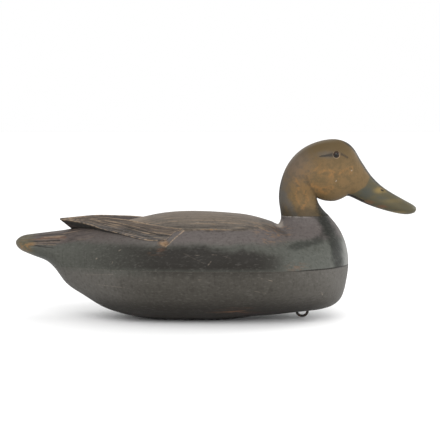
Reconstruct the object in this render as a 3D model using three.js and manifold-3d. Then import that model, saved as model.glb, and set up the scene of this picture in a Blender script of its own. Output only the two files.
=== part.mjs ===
// A carved wooden black duck decoy, life size: a body in two halves joined at a level seam,
// a head and neck carved from one block, two glass eyes, and a wire staple for the anchor line.
// Millimetres. +X points to the bill, +Y to the bird's left, +Z up, and z = 0 is the ground.

import * as THREE from 'three';
import { mergeVertices } from 'three/addons/utils/BufferGeometryUtils.js';
import Module from 'manifold-3d';

const wasm = await Module();
wasm.setup();

// Driving dimensions of the joints between the pieces.
const JOINT_GAP = 0.3;
const SEAM_Z = 59.2;
const NECK_Z = 111.6;
const TAIL_END_X = -216.4;

// The body. Each row is one section across the bird, from tail to neck:
// station, back x, back z, keel x, keel z, half width, share of the depth above the widest line.
const BODY_STATIONS = [
  [-218, -218, 88.4, -218, 76.2, 25.5, 0.50],
  [-205, -205, 90.3, -205, 71.6, 29.0, 0.50],
  [-192, -192, 92.0, -192, 66.5, 31.2, 0.49],
  [-180, -180, 93.6, -180, 60.8, 32.8, 0.47],
  [-170, -170, 94.9, -170, 49.6, 34.2, 0.44],
  [-164, -164, 95.7, -164, 40.8, 35.5, 0.43],
  [-158, -158, 96.6, -158, 34.8, 37.0, 0.42],
  [-144, -144, 98.6, -144, 25.7, 42.5, 0.43],
  [-125, -125, 101.0, -125, 14.0, 52.0, 0.46],
  [-104, -104, 104.1, -104, 6.1, 62.0, 0.48],
  [-82, -82, 108.9, -82, 1.5, 69.8, 0.50],
  [-60, -60, 113.4, -60, -0.3, 74.8, 0.505],
  [-23, -23, 115.7, -23, -0.8, 78.6, 0.515],
  [16, 16, 113.8, 16, 0.5, 79.6, 0.515],
  [40, 40, 110.4, 40, 3.2, 79.0, 0.51],
  [58, 58, 105.2, 58, 4.2, 77.0, 0.50],
  [80, 62.6, 103.1, 93, 7.8, 72.3, 0.50],
  [100, 65.3, 102.0, 121, 12.2, 65.5, 0.50],
  [116, 66.9, 101.6, 135.4, 22.8, 59.5, 0.50],
  [130, 67.8, 102.1, 140.8, 40.2, 52.0, 0.51],
  [144, 68.5, 103.2, 143.2, 60.0, 43.0, 0.52],
  [156, 69.1, 104.6, 141.2, 77.3, 34.5, 0.53],
  [168, 69.7, 106.5, 135.6, 92.4, 26.5, 0.53],
  [176, 70.1, 108.2, 129.9, 101.5, 22.3, 0.52],
  [184, 70.1, NECK_Z - JOINT_GAP / 2, 121.6, NECK_Z - JOINT_GAP / 2, 19.2, 0.50],
];
const BACK_ROUNDNESS = 2.2;
const KEEL_ROUNDNESS = 2.05;

// The tail's end is rounded off in plan over one length, and in depth over a shorter one.
const TAIL_END_LENGTH = 21;
const TAIL_END_DEPTH_LENGTH = 10;

// The head. Each row is one section, from the neck joint over the throat to the bill's tip:
// station, throat x, throat z, crown x, crown z, half width, share below the widest line.
const HEAD_STATIONS = [
  [0, 121.6, NECK_Z + JOINT_GAP / 2, 70.1, NECK_Z + JOINT_GAP / 2, 19.2, 0.50],
  [1, 116.6, 116.4, 69.3, 117.5, 18.3, 0.50],
  [2, 111.5, 123.2, 68.0, 127.0, 17.4, 0.50],
  [3, 109.3, 128.3, 68.2, 138.5, 17.1, 0.50],
  [4, 109.0, 130.0, 71.0, 152.0, 17.7, 0.50],
  [5, 109.9, 129.8, 79.5, 169.8, 18.8, 0.47],
  [6, 112.6, 128.6, 96.0, 185.2, 20.2, 0.42],
  [7, 118.0, 127.2, 117.0, 192.8, 21.0, 0.38],
  [8, 125.8, 126.7, 134.0, 192.6, 20.3, 0.38],
  [9, 132.5, 128.2, 146.5, 185.3, 18.2, 0.39],
  [10, 138.2, 130.9, 154.0, 173.8, 15.8, 0.41],
  [11, 142.8, 132.2, 160.0, 164.4, 14.3, 0.43],
  [12, 152.0, 128.3, 168.2, 153.1, 13.3, 0.45],
  [13, 165.0, 122.5, 180.7, 141.5, 13.0, 0.46],
  [14, 182.0, 116.9, 195.5, 132.2, 14.0, 0.47],
  [15, 199.0, 113.0, 206.8, 126.0, 14.8, 0.48],
  [16, 208.4, 112.7, 212.3, 122.9, 13.0, 0.49],
  [17, 213.6, 114.2, 215.4, 120.6, 8.6, 0.50],
];
const BILL_TIP = [216.4, 117.6];
const HEAD_ROUNDNESS = 2.1;

// The eyes, and the stations of the head that they lie between.
const EYE_RADIUS = 4;
const EYE_X = 128.1;
const EYE_Z = 177.3;
const EYE_PROUD = 1.3;
const EYE_STATIONS = [6, 11];

// The tail's flutes.
const FLUTES = 8;
const FLUTE_DEPTH = [[-218, 0.9], [-200, 1.3], [-178, 1.0], [-156, 0.0]];

// The wings: two lines run from the wing tips to the shoulders, an upper ridge and a lower edge.
// Each row is x, distance from the centre plane, height above the back.
const WING_RIDGE = [
  [-168.5, 2.2, 13.2], [-150, 6, 12.2], [-128, 12, 11.2], [-108, 19.5, 8.6], [-94, 25.5, 6.2],
  [-76, 36, 2.6], [-57, 47.5, 1.2], [-35, 54.5, 0.9],
];
const WING_EDGE = [
  [-168.5, 4.8, 12.4], [-157, 9.5, 10.4], [-146, 14.5, 8.3], [-136, 20.5, 6.6], [-128, 26, 5.2],
  [-104, 41.5, 2.6], [-87, 52.3, 1.7], [-71, 60.2, 1.2], [-50, 65, 0.9],
];
const WING_TIP_X = -168.5;
const WING_FRONT_RIDGE_X = -35;
const WING_FRONT_EDGE_X = -52;
const WING_FRONT_CURVE = 0.8;
const WING_TIP_RAKE = 1.0;
const WING_SINK = 3;
// The outer edge and the inner face lean in by these shares of their height; the inner face
// of a wing stands upright where the ridge runs close to the centre plane.
const EDGE_LEAN = 0.3;
const RIDGE_LEAN = 0.35;
const FULL_LEAN_Y = 12;
// The grooves between the feathers are full depth where the wing is at least this wide.
const FEATHERS = 7;
const FEATHER_DEPTH = 0.9;
const FULL_GROOVE_WIDTH = 25;

// The line staple. Its foot stays just clear of the ground, and the hull stands on its flat.
const STAPLE_X = 93.6;
const STAPLE_WIRE_RADIUS = 1.4;
const STAPLE_BEND_RADIUS = 5.9;
const STAPLE_FOOT_Z = 0.2;
const STAPLE_TOP_Z = 22;

// Facet counts. Body rows are given as from, to, count; those of the tail's end as shares of it.
const BACK_FACETS = 32;
const KEEL_FACETS = 16;
const TAIL_END_ROWS = [0.12, 0.3, 0.5, 0.72, 0.9];
const BODY_ROWS = [[-194, -144, 8], [-144, 58, 13], [58, 80, 2], [80, 184, 14]];
const HEAD_FACETS = 28;
const HEAD_ROWS_PER_STATION = 2;
const WING_ROWS = 14;
const FACETS_PER_FEATHER = 2;
const EYE_FACETS = 16;
const EYE_ROWS = 10;
const STAPLE_BEND_FACETS = 12;
const WIRE_FACETS = 12;

// Points closer than this are one point, and the block that cuts the body is larger than it.
const MERGE_DISTANCE = 1e-4;
const BLOCK_SIZE = 600;
const SKY_Z = 300;
// The eye's place is found in small steps of station, to within a small distance.
const SEARCH_STEP = 0.02;
const SEARCH_REACH = 0.3;

// Worn oil paint over wood, glass, and rusted iron.
const BODY_PAINT = { color: 0x4a463f, roughness: 0.72, metalness: 0 };
const LOWER_PAINT = { color: 0x4b4741, roughness: 0.74, metalness: 0 };
const HEAD_PAINT = { color: 0x7a6644, roughness: 0.7, metalness: 0 };
const EYE_GLASS = { color: 0x2a1c12, roughness: 0.12, metalness: 0 };
const STAPLE_IRON = { color: 0x2b2926, roughness: 0.6, metalness: 0.7 };

// A smooth curve through every knot [t, a, b, ...]: a natural cubic spline in each column.
function smoothCurve(knots) {
  const last = knots.length - 1;
  const columns = knots[0].length - 1;
  const bends = knots.map(() => new Array(columns).fill(0));
  const slope = (i, c) => (knots[i + 1][c] - knots[i][c]) / (knots[i + 1][0] - knots[i][0]);
  for (let c = 0; c < columns; c += 1) {
    const carry = new Array(last).fill(0);
    const target = new Array(last).fill(0);
    for (let i = 1; i < last; i += 1) {
      const before = knots[i][0] - knots[i - 1][0];
      const after = knots[i + 1][0] - knots[i][0];
      const pivot = 2 * (before + after) - before * carry[i - 1];
      carry[i] = after / pivot;
      target[i] = (6 * (slope(i, c + 1) - slope(i - 1, c + 1)) - before * target[i - 1]) / pivot;
    }
    for (let i = last - 1; i > 0; i -= 1) {
      bends[i][c] = target[i] - carry[i] * bends[i + 1][c];
    }
  }
  return (t) => {
    let i = 0;
    while (i < last - 1 && t > knots[i + 1][0]) i += 1;
    const width = knots[i + 1][0] - knots[i][0];
    const b = (t - knots[i][0]) / width;
    const a = 1 - b;
    return bends[i].map((bend, c) => a * knots[i][c + 1] + b * knots[i + 1][c + 1]
      + ((a ** 3 - a) * bend + (b ** 3 - b) * bends[i + 1][c]) * width * width / 6);
  };
}

// Straight lines from knot to knot.
function brokenLine(knots) {
  return (t) => {
    let i = 0;
    while (i < knots.length - 2 && t > knots[i + 1][0]) i += 1;
    const b = THREE.MathUtils.clamp((t - knots[i][0]) / (knots[i + 1][0] - knots[i][0]), 0, 1);
    return knots[i][1] + b * (knots[i + 1][1] - knots[i][1]);
  };
}

const bodyAt = smoothCurve(BODY_STATIONS);
const headAt = smoothCurve(HEAD_STATIONS);
const ridgeAt = smoothCurve(WING_RIDGE);
const edgeAt = smoothCurve(WING_EDGE);
const fluteDepthAt = brokenLine(FLUTE_DEPTH);

// How full the tail is near its rounded end: 0 at the end, 1 from `length` inwards.
function endFullness(x, length) {
  const t = THREE.MathUtils.clamp((x - TAIL_END_X) / length, 0, 1);
  return Math.sqrt(1 - (1 - t) ** 2);
}

// The body's section at a station: its two chord ends and its widths.
function bodySection(station) {
  const [backX, backZ, keelX, keelZ, halfWidth, above] = bodyAt(station);
  const depthFullness = endFullness(station, TAIL_END_DEPTH_LENGTH);
  const widestX = backX + (keelX - backX) * above;
  const widestZ = backZ + (keelZ - backZ) * above;
  return {
    widest: [widestX, widestZ],
    up: [(backX - widestX) * depthFullness, (backZ - widestZ) * depthFullness],
    down: [(keelX - widestX) * depthFullness, (keelZ - widestZ) * depthFullness],
    halfWidth: halfWidth * endFullness(station, TAIL_END_LENGTH),
  };
}

// Height of the back, before the wings are added, above a point of the plan.
function backHeight(x, y) {
  const { widest, up, halfWidth } = bodySection(x);
  const across = Math.min(1, Math.abs(y) / halfWidth);
  return widest[1] + up[1] * (1 - across ** BACK_ROUNDNESS) ** (1 / BACK_ROUNDNESS);
}

// A point of a rounded section: angle 0 is the +Y side, a quarter turn is `up`, the rest `down`.
function sectionPoint(section, angle, upRoundness, downRoundness, hollow) {
  const roundness = Math.sin(angle) >= 0 ? upRoundness : downRoundness;
  const swell = (value) => Math.sign(value) * Math.abs(value) ** (2 / roundness);
  const across = swell(Math.cos(angle)) * section.halfWidth;
  const rise = swell(Math.sin(angle));
  const chord = rise >= 0 ? section.up : section.down;
  const reach = Math.hypot(across, rise * chord[0], rise * chord[1]);
  const keep = reach > 0 ? 1 - hollow / reach : 1;
  return new THREE.Vector3(
    section.widest[0] + chord[0] * Math.abs(rise) * keep,
    across * keep,
    section.widest[1] + chord[1] * Math.abs(rise) * keep,
  );
}

// A closed skin over rings with equal counts of points; both ends are closed by a fan.
function skin(rings, startTip, endTip) {
  const count = rings[0].length;
  const points = [...rings.flat(), startTip, endTip];
  const startIndex = rings.length * count;
  const faces = [];
  for (let i = 0; i < rings.length - 1; i += 1) {
    for (let j = 0; j < count; j += 1) {
      const a = i * count + j;
      const b = i * count + (j + 1) % count;
      faces.push(a, b, b + count, a, b + count, a + count);
    }
  }
  const lastRing = (rings.length - 1) * count;
  for (let j = 0; j < count; j += 1) {
    const next = (j + 1) % count;
    faces.push(startIndex, next, j);
    faces.push(startIndex + 1, lastRing + j, lastRing + next);
  }
  const geometry = new THREE.BufferGeometry().setFromPoints(points);
  geometry.setIndex(faces);
  return geometry;
}

function middleOf(ring) {
  const middle = new THREE.Vector3();
  ring.forEach((point) => middle.add(point));
  return middle.divideScalar(ring.length);
}

// Closed three.js geometry to a solid that can be joined and cut, and back.
function solidOf(geometry) {
  const plain = geometry.clone();
  plain.deleteAttribute('normal');
  plain.deleteAttribute('uv');
  const merged = mergeVertices(plain, MERGE_DISTANCE);
  return new wasm.Manifold(new wasm.Mesh({
    numProp: 3,
    vertProperties: new Float32Array(merged.attributes.position.array),
    triVerts: new Uint32Array(merged.index.array),
  }));
}

function geometryOf(solid) {
  const mesh = solid.getMesh();
  const geometry = new THREE.BufferGeometry();
  geometry.setAttribute('position', new THREE.BufferAttribute(new Float32Array(mesh.vertProperties), 3));
  geometry.setIndex(new THREE.BufferAttribute(new Uint32Array(mesh.triVerts), 1));
  geometry.computeVertexNormals();
  return geometry;
}

// Everything between two heights, as a block to keep or cut by.
function slab(bottomZ, topZ) {
  const block = new THREE.BoxGeometry(BLOCK_SIZE, BLOCK_SIZE, topZ - bottomZ);
  block.translate(0, 0, (topZ + bottomZ) / 2);
  return solidOf(block);
}

// Angles round a section, with their own counts of facets above and below the widest line.
function sectionAngles(above, below) {
  const angles = [];
  for (let i = 0; i < above; i += 1) angles.push(Math.PI * i / above);
  for (let i = 0; i < below; i += 1) angles.push(Math.PI * (1 + i / below));
  return angles;
}

// Stations along the body: close together on the round tail end and round the breast.
function bodyRowStations() {
  const rows = TAIL_END_ROWS.map(
    (share) => TAIL_END_X + TAIL_END_LENGTH * (1 - Math.cos(share * Math.PI / 2)),
  );
  for (const [from, to, count] of BODY_ROWS) {
    for (let i = 0; i < count; i += 1) rows.push(from + (to - from) * i / count);
  }
  rows.push(BODY_STATIONS.at(-1)[0]);
  return rows;
}

function bodySolid() {
  const angles = sectionAngles(BACK_FACETS, KEEL_FACETS);
  const rings = bodyRowStations().map((station) => {
    const section = bodySection(station);
    const depth = fluteDepthAt(station) * endFullness(station, TAIL_END_LENGTH);
    return angles.map((angle) => {
      const hollow = angle < Math.PI ? depth * Math.abs(Math.sin(FLUTES * angle)) : 0;
      return sectionPoint(section, angle, BACK_ROUNDNESS, KEEL_ROUNDNESS, hollow);
    });
  });
  const tailTip = new THREE.Vector3(TAIL_END_X, 0, middleOf(rings[0]).z);
  return solidOf(skin(rings, tailTip, middleOf(rings[rings.length - 1])));
}

// One wing: its feathered top follows the back at a height, from the tip to a curved front end,
// with a steep inner face and an undercut outer edge. `side` is +1 for the bird's left.
function wingSolid(side) {
  const strips = FEATHERS * FACETS_PER_FEATHER;
  const rings = [];
  for (let row = 0; row <= WING_ROWS; row += 1) {
    const along = row / WING_ROWS;
    const ring = [];
    const place = (x, y, z) => ring.push(new THREE.Vector3(x, side * y, z));
    const lineX = (down) => {
      const sweep = (WING_FRONT_EDGE_X - WING_FRONT_RIDGE_X) * down ** WING_FRONT_CURVE;
      return WING_TIP_X + (WING_FRONT_RIDGE_X + sweep - WING_TIP_X) * along;
    };
    for (let strip = 0; strip <= strips; strip += 1) {
      const down = strip / strips;
      const x = lineX(down);
      const [ridgeY, ridgeLift] = ridgeAt(x);
      const [edgeY, edgeLift] = edgeAt(x);
      const y = ridgeY + (edgeY - ridgeY) * down;
      const groove = FEATHER_DEPTH * Math.min(1, (edgeY - ridgeY) / FULL_GROOVE_WIDTH);
      const hollow = groove * (1 - Math.abs(Math.sin(FEATHERS * down * Math.PI)));
      const lift = ridgeLift + (edgeLift - ridgeLift) * down;
      place(x, y, backHeight(x, y) + lift - hollow);
    }
    const edgeX = lineX(1);
    const [edgeY, edgeLift] = edgeAt(edgeX);
    const edgeFoot = edgeX + WING_TIP_RAKE * (edgeLift + WING_SINK) * (1 - along);
    const footY = edgeY - EDGE_LEAN * (edgeLift + WING_SINK);
    place(edgeFoot, footY, backHeight(edgeFoot, footY) - WING_SINK);
    const ridgeX = lineX(0);
    const [ridgeY, ridgeLift] = ridgeAt(ridgeX);
    const ridgeFoot = ridgeX + WING_TIP_RAKE * (ridgeLift + WING_SINK) * (1 - along);
    const innerY = ridgeY - RIDGE_LEAN * (ridgeLift + WING_SINK) * Math.min(1, ridgeY / FULL_LEAN_Y);
    place(ridgeFoot, innerY, backHeight(ridgeFoot, innerY) - WING_SINK);
    if (side > 0) ring.reverse();
    rings.push(ring);
  }
  return solidOf(skin(rings, middleOf(rings[0]), middleOf(rings[rings.length - 1])));
}

function headSection(station) {
  const [throatX, throatZ, crownX, crownZ, halfWidth, below] = headAt(station);
  const widest = [throatX + (crownX - throatX) * below, throatZ + (crownZ - throatZ) * below];
  return {
    widest,
    up: [crownX - widest[0], crownZ - widest[1]],
    down: [throatX - widest[0], throatZ - widest[1]],
    halfWidth,
  };
}

function headSolid() {
  const lastStation = HEAD_STATIONS.length - 1;
  const angles = sectionAngles(HEAD_FACETS / 2, HEAD_FACETS / 2);
  const rings = [];
  for (let step = 0; step <= HEAD_ROWS_PER_STATION * lastStation; step += 1) {
    const section = headSection(step / HEAD_ROWS_PER_STATION);
    rings.push(angles.map((angle) => sectionPoint(section, angle, HEAD_ROUNDNESS, HEAD_ROUNDNESS, 0)));
  }
  const tip = new THREE.Vector3(BILL_TIP[0], 0, BILL_TIP[1]);
  return solidOf(skin(rings, middleOf(rings[0]), tip));
}

// Half the head's width at a point of its side, found between the two sections beside it.
function headHalfWidth(x, z) {
  let best = 0;
  for (let station = EYE_STATIONS[0]; station <= EYE_STATIONS[1]; station += SEARCH_STEP) {
    const section = headSection(station);
    const [fromX, fromZ] = [x - section.widest[0], z - section.widest[1]];
    const length = Math.hypot(section.up[0], section.up[1]);
    const off = Math.abs(fromX * section.up[1] - fromZ * section.up[0]) / length;
    const share = (fromX * section.up[0] + fromZ * section.up[1]) / (length * length);
    if (off < SEARCH_REACH && share >= 0 && share < 1) {
      const fullness = (1 - share ** HEAD_ROUNDNESS) ** (1 / HEAD_ROUNDNESS);
      best = Math.max(best, section.halfWidth * fullness);
    }
  }
  return best;
}

function ball(radius, x, y, z) {
  const geometry = new THREE.SphereGeometry(radius, EYE_FACETS, EYE_ROWS);
  geometry.rotateX(Math.PI / 2);
  geometry.translate(x, y, z);
  return geometry;
}

// The line of the bent wire: two upright legs joined below by a half circle.
function stapleLine() {
  const bendZ = STAPLE_FOOT_Z + STAPLE_WIRE_RADIUS + STAPLE_BEND_RADIUS;
  const points = [new THREE.Vector3(STAPLE_X - STAPLE_BEND_RADIUS, 0, STAPLE_TOP_Z)];
  for (let i = 0; i <= STAPLE_BEND_FACETS; i += 1) {
    const angle = Math.PI * (1 + i / STAPLE_BEND_FACETS);
    const x = STAPLE_X + STAPLE_BEND_RADIUS * Math.cos(angle);
    points.push(new THREE.Vector3(x, 0, bendZ + STAPLE_BEND_RADIUS * Math.sin(angle)));
  }
  points.push(new THREE.Vector3(STAPLE_X + STAPLE_BEND_RADIUS, 0, STAPLE_TOP_Z));
  return points;
}

// A round wire of a given radius along the staple's line.
function staple(radius) {
  const points = stapleLine();
  const out = new THREE.Vector3(0, 1, 0);
  const rings = points.map((point, i) => {
    const ahead = points[Math.min(points.length - 1, i + 1)].clone();
    ahead.sub(points[Math.max(0, i - 1)]).normalize();
    const over = ahead.cross(out);
    return Array.from({ length: WIRE_FACETS }, (_, j) => {
      const turn = 2 * Math.PI * j / WIRE_FACETS;
      const place = point.clone().addScaledVector(out, radius * Math.cos(turn));
      return place.addScaledVector(over, radius * Math.sin(turn));
    });
  });
  return skin(rings, middleOf(rings[0]), middleOf(rings[rings.length - 1]));
}

function piece(name, solid, finish) {
  const mesh = new THREE.Mesh(geometryOf(solid), new THREE.MeshStandardMaterial(finish));
  mesh.name = name;
  return mesh;
}

const decoy = new THREE.Group();

const body = bodySolid();
let upper = body.intersect(slab(SEAM_Z + JOINT_GAP / 2, SKY_Z));
for (const side of [1, -1]) upper = upper.add(wingSolid(side));
decoy.add(piece('body_upper', upper, BODY_PAINT));

const stapleHoles = solidOf(staple(STAPLE_WIRE_RADIUS + JOINT_GAP));
const lower = body.intersect(slab(0, SEAM_Z - JOINT_GAP / 2)).subtract(stapleHoles);
decoy.add(piece('body_lower', lower, LOWER_PAINT));
decoy.add(piece('line_staple', solidOf(staple(STAPLE_WIRE_RADIUS)), STAPLE_IRON));

const eyeY = headHalfWidth(EYE_X, EYE_Z) + EYE_PROUD - EYE_RADIUS;
let head = headSolid();
for (const side of [1, -1]) {
  head = head.subtract(solidOf(ball(EYE_RADIUS + JOINT_GAP, EYE_X, side * eyeY, EYE_Z)));
}
decoy.add(piece('head', head, HEAD_PAINT));
decoy.add(piece('eye_left', solidOf(ball(EYE_RADIUS, EYE_X, eyeY, EYE_Z)), EYE_GLASS));
decoy.add(piece('eye_right', solidOf(ball(EYE_RADIUS, EYE_X, -eyeY, EYE_Z)), EYE_GLASS));

export default decoy;
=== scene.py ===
"""A carved and painted wooden black duck decoy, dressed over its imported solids.

Tables and shape functions are in millimetres, in the frame's axes: +X to the bill, +Y to the
bird's left, +Z up, the ground at z = 0. Meshes are scaled to metres where they are made.
"""

import math

import bpy
import numpy as np
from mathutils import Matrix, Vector


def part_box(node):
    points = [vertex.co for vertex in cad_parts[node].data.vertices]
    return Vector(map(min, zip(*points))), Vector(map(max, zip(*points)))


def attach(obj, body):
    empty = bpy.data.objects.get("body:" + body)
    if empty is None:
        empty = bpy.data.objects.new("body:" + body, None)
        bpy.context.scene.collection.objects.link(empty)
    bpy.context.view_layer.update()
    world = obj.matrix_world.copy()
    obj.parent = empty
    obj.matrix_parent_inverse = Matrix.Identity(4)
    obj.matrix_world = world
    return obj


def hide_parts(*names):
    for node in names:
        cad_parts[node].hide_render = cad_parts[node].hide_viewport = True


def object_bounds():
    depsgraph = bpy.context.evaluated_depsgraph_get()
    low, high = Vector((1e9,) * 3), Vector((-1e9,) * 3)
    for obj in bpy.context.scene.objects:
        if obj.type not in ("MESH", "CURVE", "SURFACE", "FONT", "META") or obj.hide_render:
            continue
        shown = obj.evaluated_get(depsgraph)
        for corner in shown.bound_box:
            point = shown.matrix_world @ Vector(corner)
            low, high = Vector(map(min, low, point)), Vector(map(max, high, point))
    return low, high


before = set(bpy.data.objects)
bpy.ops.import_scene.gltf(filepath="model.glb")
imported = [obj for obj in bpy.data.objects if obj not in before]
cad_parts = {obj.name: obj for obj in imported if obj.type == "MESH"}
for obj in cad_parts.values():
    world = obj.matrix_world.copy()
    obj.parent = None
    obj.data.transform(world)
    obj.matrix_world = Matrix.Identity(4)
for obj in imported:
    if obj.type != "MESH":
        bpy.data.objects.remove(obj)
CAD_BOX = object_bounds()

bl_info = {
    "name": "Black duck decoy",
    "version": (1, 0, 0),
    "blender": (4, 5, 0),
    "location": "View3D > Sidebar > Decoy",
    "description": "Carved and painted wooden duck decoy with raised wings and glass eyes",
    "category": "Object",
}

MM = 0.001
SIDES = (1, -1)

# The joints between the pieces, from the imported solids.
LOWER_TOP_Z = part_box("body_lower")[1].z / MM
UPPER_BOTTOM_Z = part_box("body_upper")[0].z / MM
HEAD_BOTTOM_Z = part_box("head")[0].z / MM
NECK_TOP_Z = HEAD_BOTTOM_Z - (UPPER_BOTTOM_Z - LOWER_TOP_Z)
TAIL_END_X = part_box("body_upper")[0].x / MM

# The body. Each row is one section across the bird, from tail to neck:
# station, back x, back z, keel x, keel z, half width, share of the depth above the widest line.
BODY_STATIONS = [
    [-218, -218, 88.4, -218, 76.2, 25.5, 0.50],
    [-205, -205, 90.3, -205, 71.6, 29.0, 0.50],
    [-192, -192, 92.0, -192, 66.5, 31.2, 0.49],
    [-180, -180, 93.6, -180, 60.8, 32.8, 0.47],
    [-170, -170, 94.9, -170, 49.6, 34.2, 0.44],
    [-164, -164, 95.7, -164, 40.8, 35.5, 0.43],
    [-158, -158, 96.6, -158, 34.8, 37.0, 0.42],
    [-144, -144, 98.6, -144, 25.7, 42.5, 0.43],
    [-125, -125, 101.0, -125, 14.0, 52.0, 0.46],
    [-104, -104, 104.1, -104, 6.1, 62.0, 0.48],
    [-82, -82, 108.9, -82, 1.5, 69.8, 0.50],
    [-60, -60, 113.4, -60, -0.3, 74.8, 0.505],
    [-23, -23, 115.7, -23, -0.8, 78.6, 0.515],
    [16, 16, 113.8, 16, 0.5, 79.6, 0.515],
    [40, 40, 110.4, 40, 3.2, 79.0, 0.51],
    [58, 58, 105.2, 58, 4.2, 77.0, 0.50],
    [80, 62.6, 103.1, 93, 7.8, 72.3, 0.50],
    [100, 65.3, 102.0, 121, 12.2, 65.5, 0.50],
    [116, 66.9, 101.6, 135.4, 22.8, 59.5, 0.50],
    [130, 67.8, 102.1, 140.8, 40.2, 52.0, 0.51],
    [144, 68.5, 103.2, 143.2, 60.0, 43.0, 0.52],
    [156, 69.1, 104.6, 141.2, 77.3, 34.5, 0.53],
    [168, 69.7, 106.5, 135.6, 92.4, 26.5, 0.53],
    [176, 70.1, 108.2, 129.9, 101.5, 22.3, 0.52],
    [184, 70.1, NECK_TOP_Z, 121.6, NECK_TOP_Z, 19.2, 0.50],
]
BACK_ROUNDNESS = 2.2
KEEL_ROUNDNESS = 2.05
TAIL_END_LENGTH = 21
TAIL_END_DEPTH_LENGTH = 10

# The head. Each row is one section, from the neck joint over the throat to the bill's tip:
# station, throat x, throat z, crown x, crown z, half width, share below the widest line.
HEAD_STATIONS = [
    [0, 121.6, HEAD_BOTTOM_Z, 70.1, HEAD_BOTTOM_Z, 19.2, 0.50],
    [1, 116.6, 116.4, 69.3, 117.5, 18.3, 0.50],
    [2, 111.5, 123.2, 68.0, 127.0, 17.4, 0.50],
    [3, 109.3, 128.3, 68.2, 138.5, 17.1, 0.50],
    [4, 109.0, 130.0, 71.0, 152.0, 17.7, 0.50],
    [5, 109.9, 129.8, 79.5, 169.8, 18.8, 0.47],
    [6, 112.6, 128.6, 96.0, 185.2, 20.2, 0.42],
    [7, 118.0, 127.2, 117.0, 192.8, 21.0, 0.38],
    [8, 125.8, 126.7, 134.0, 192.6, 20.3, 0.38],
    [9, 132.5, 128.2, 146.5, 185.3, 18.2, 0.39],
    [10, 138.2, 130.9, 154.0, 173.8, 15.8, 0.41],
    [11, 142.8, 132.2, 160.0, 164.4, 14.3, 0.43],
    [12, 152.0, 128.3, 168.2, 153.1, 13.3, 0.45],
    [13, 165.0, 122.5, 180.7, 141.5, 13.0, 0.46],
    [14, 182.0, 116.9, 195.5, 132.2, 14.0, 0.47],
    [15, 199.0, 113.0, 206.8, 126.0, 14.8, 0.48],
    [16, 208.4, 112.7, 212.3, 122.9, 13.0, 0.49],
    [17, 213.6, 114.2, 215.4, 120.6, 8.6, 0.50],
]
BILL_TIP = (216.4, 117.6)
HEAD_ROUNDNESS = 2.1

# The wings: an upper ridge and a lower edge. Each row is x, distance from the centre plane,
# height above the back.
WING_RIDGE = [
    [-168.5, 2.2, 13.2], [-150, 6, 12.2], [-128, 12, 11.2], [-108, 19.5, 8.6], [-94, 25.5, 6.2],
    [-76, 36, 2.6], [-57, 47.5, 1.2], [-35, 54.5, 0.9],
]
WING_EDGE = [
    [-168.5, 4.8, 12.4], [-157, 9.5, 10.4], [-146, 14.5, 8.3], [-136, 20.5, 6.6],
    [-128, 26, 5.2], [-104, 41.5, 2.6], [-87, 52.3, 1.7], [-71, 60.2, 1.2], [-50, 65, 0.9],
]
WING_TIP_X = -168.5
WING_FRONT_RIDGE_X = -35
WING_FRONT_EDGE_X = -52
WING_FRONT_CURVE = 0.8
WING_TIP_RAKE = 1.0
WING_SINK = 3
EDGE_LEAN = 0.3
RIDGE_LEAN = 0.35
FULL_LEAN_Y = 12
FEATHERS = 7
FULL_GROOVE_WIDTH = 25
FEATHER_FULLNESS = 0.8
GROOVE_WAVE_LENGTH = 17
GROOVE_SHIFT = 2.4

# The worn rim of each wing, and how far its inner face leans in from the ridge.
RIM_WIDTH = 0.6
WING_FACE_REACH = 6.5

# The tail's flutes: x, share of their full depth.
FLUTES = 8
FLUTE_SHARE = [[-218, 0.7], [-200, 1.0], [-178, 0.77], [-156, 0.0]]

# Mesh steps.
BODY_ROW_STEPS = [(-195.4, 58, 1.65), (58, 184, 0.95)]
TAIL_END_ROW_COUNT = 16
SEAM_EDGE_SHARES = [0, 0.0009, 0.0018, 0.0028, 0.004, 0.006, 0.009]
BODY_COLUMNS = 140
LOWER_COLUMNS = 120
WING_ROWS = 150
STRIPS_PER_FEATHER = 12
WING_FACE_STEPS = 5
HEAD_ROWS_PER_STATION = 16
HEAD_COLUMNS = 120
BALL_COLUMNS = 64
BALL_ROWS = 48
WIRE_COLUMNS = 24
BEND_ROWS = 48
KEEL_SAMPLES = 20001
CROSSING_STEPS = 9
CROSSING_REACH = 3
MERGE_DISTANCE = 1e-7
SHARP_ANGLE = math.radians(38)

# The knife's marks: seed, number of waves, and spread of their rates along each axis.
KNIFE_SEED = 11
KNIFE_WAVES = 8
KNIFE_RATES = (0.06, 0.16, 0.16)


def smooth_curve(knots):
    """A natural cubic spline through every knot (t, a, b, ...), one column at a time.

    Its second derivatives are the solution of the usual three-band system, and between two
    knots the value is the straight line plus their weighted cubes.
    """
    knots = np.array(knots, float)
    t, values = knots[:, 0], knots[:, 1:]
    width = np.diff(t)
    slope = np.diff(values, axis=0) / width[:, None]
    system = np.eye(len(t))
    inner = np.arange(1, len(t) - 1)
    system[inner, inner - 1] = width[:-1]
    system[inner, inner] = 2 * (width[:-1] + width[1:])
    system[inner, inner + 1] = width[1:]
    target = np.zeros_like(values)
    target[inner] = 6 * np.diff(slope, axis=0)
    bends = np.linalg.solve(system, target)

    def at(place):
        place = np.asarray(place, float)
        i = np.clip(np.searchsorted(t, place) - 1, 0, len(t) - 2)
        b = ((place - t[i]) / width[i])[..., None]
        a = 1 - b
        cubes = (a ** 3 - a) * bends[i] + (b ** 3 - b) * bends[i + 1]
        return a * values[i] + b * values[i + 1] + cubes * (width[i] ** 2 / 6)[..., None]

    return at


body_at = smooth_curve(BODY_STATIONS)
head_at = smooth_curve(HEAD_STATIONS)
ridge_at = smooth_curve(WING_RIDGE)
edge_at = smooth_curve(WING_EDGE)


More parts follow.
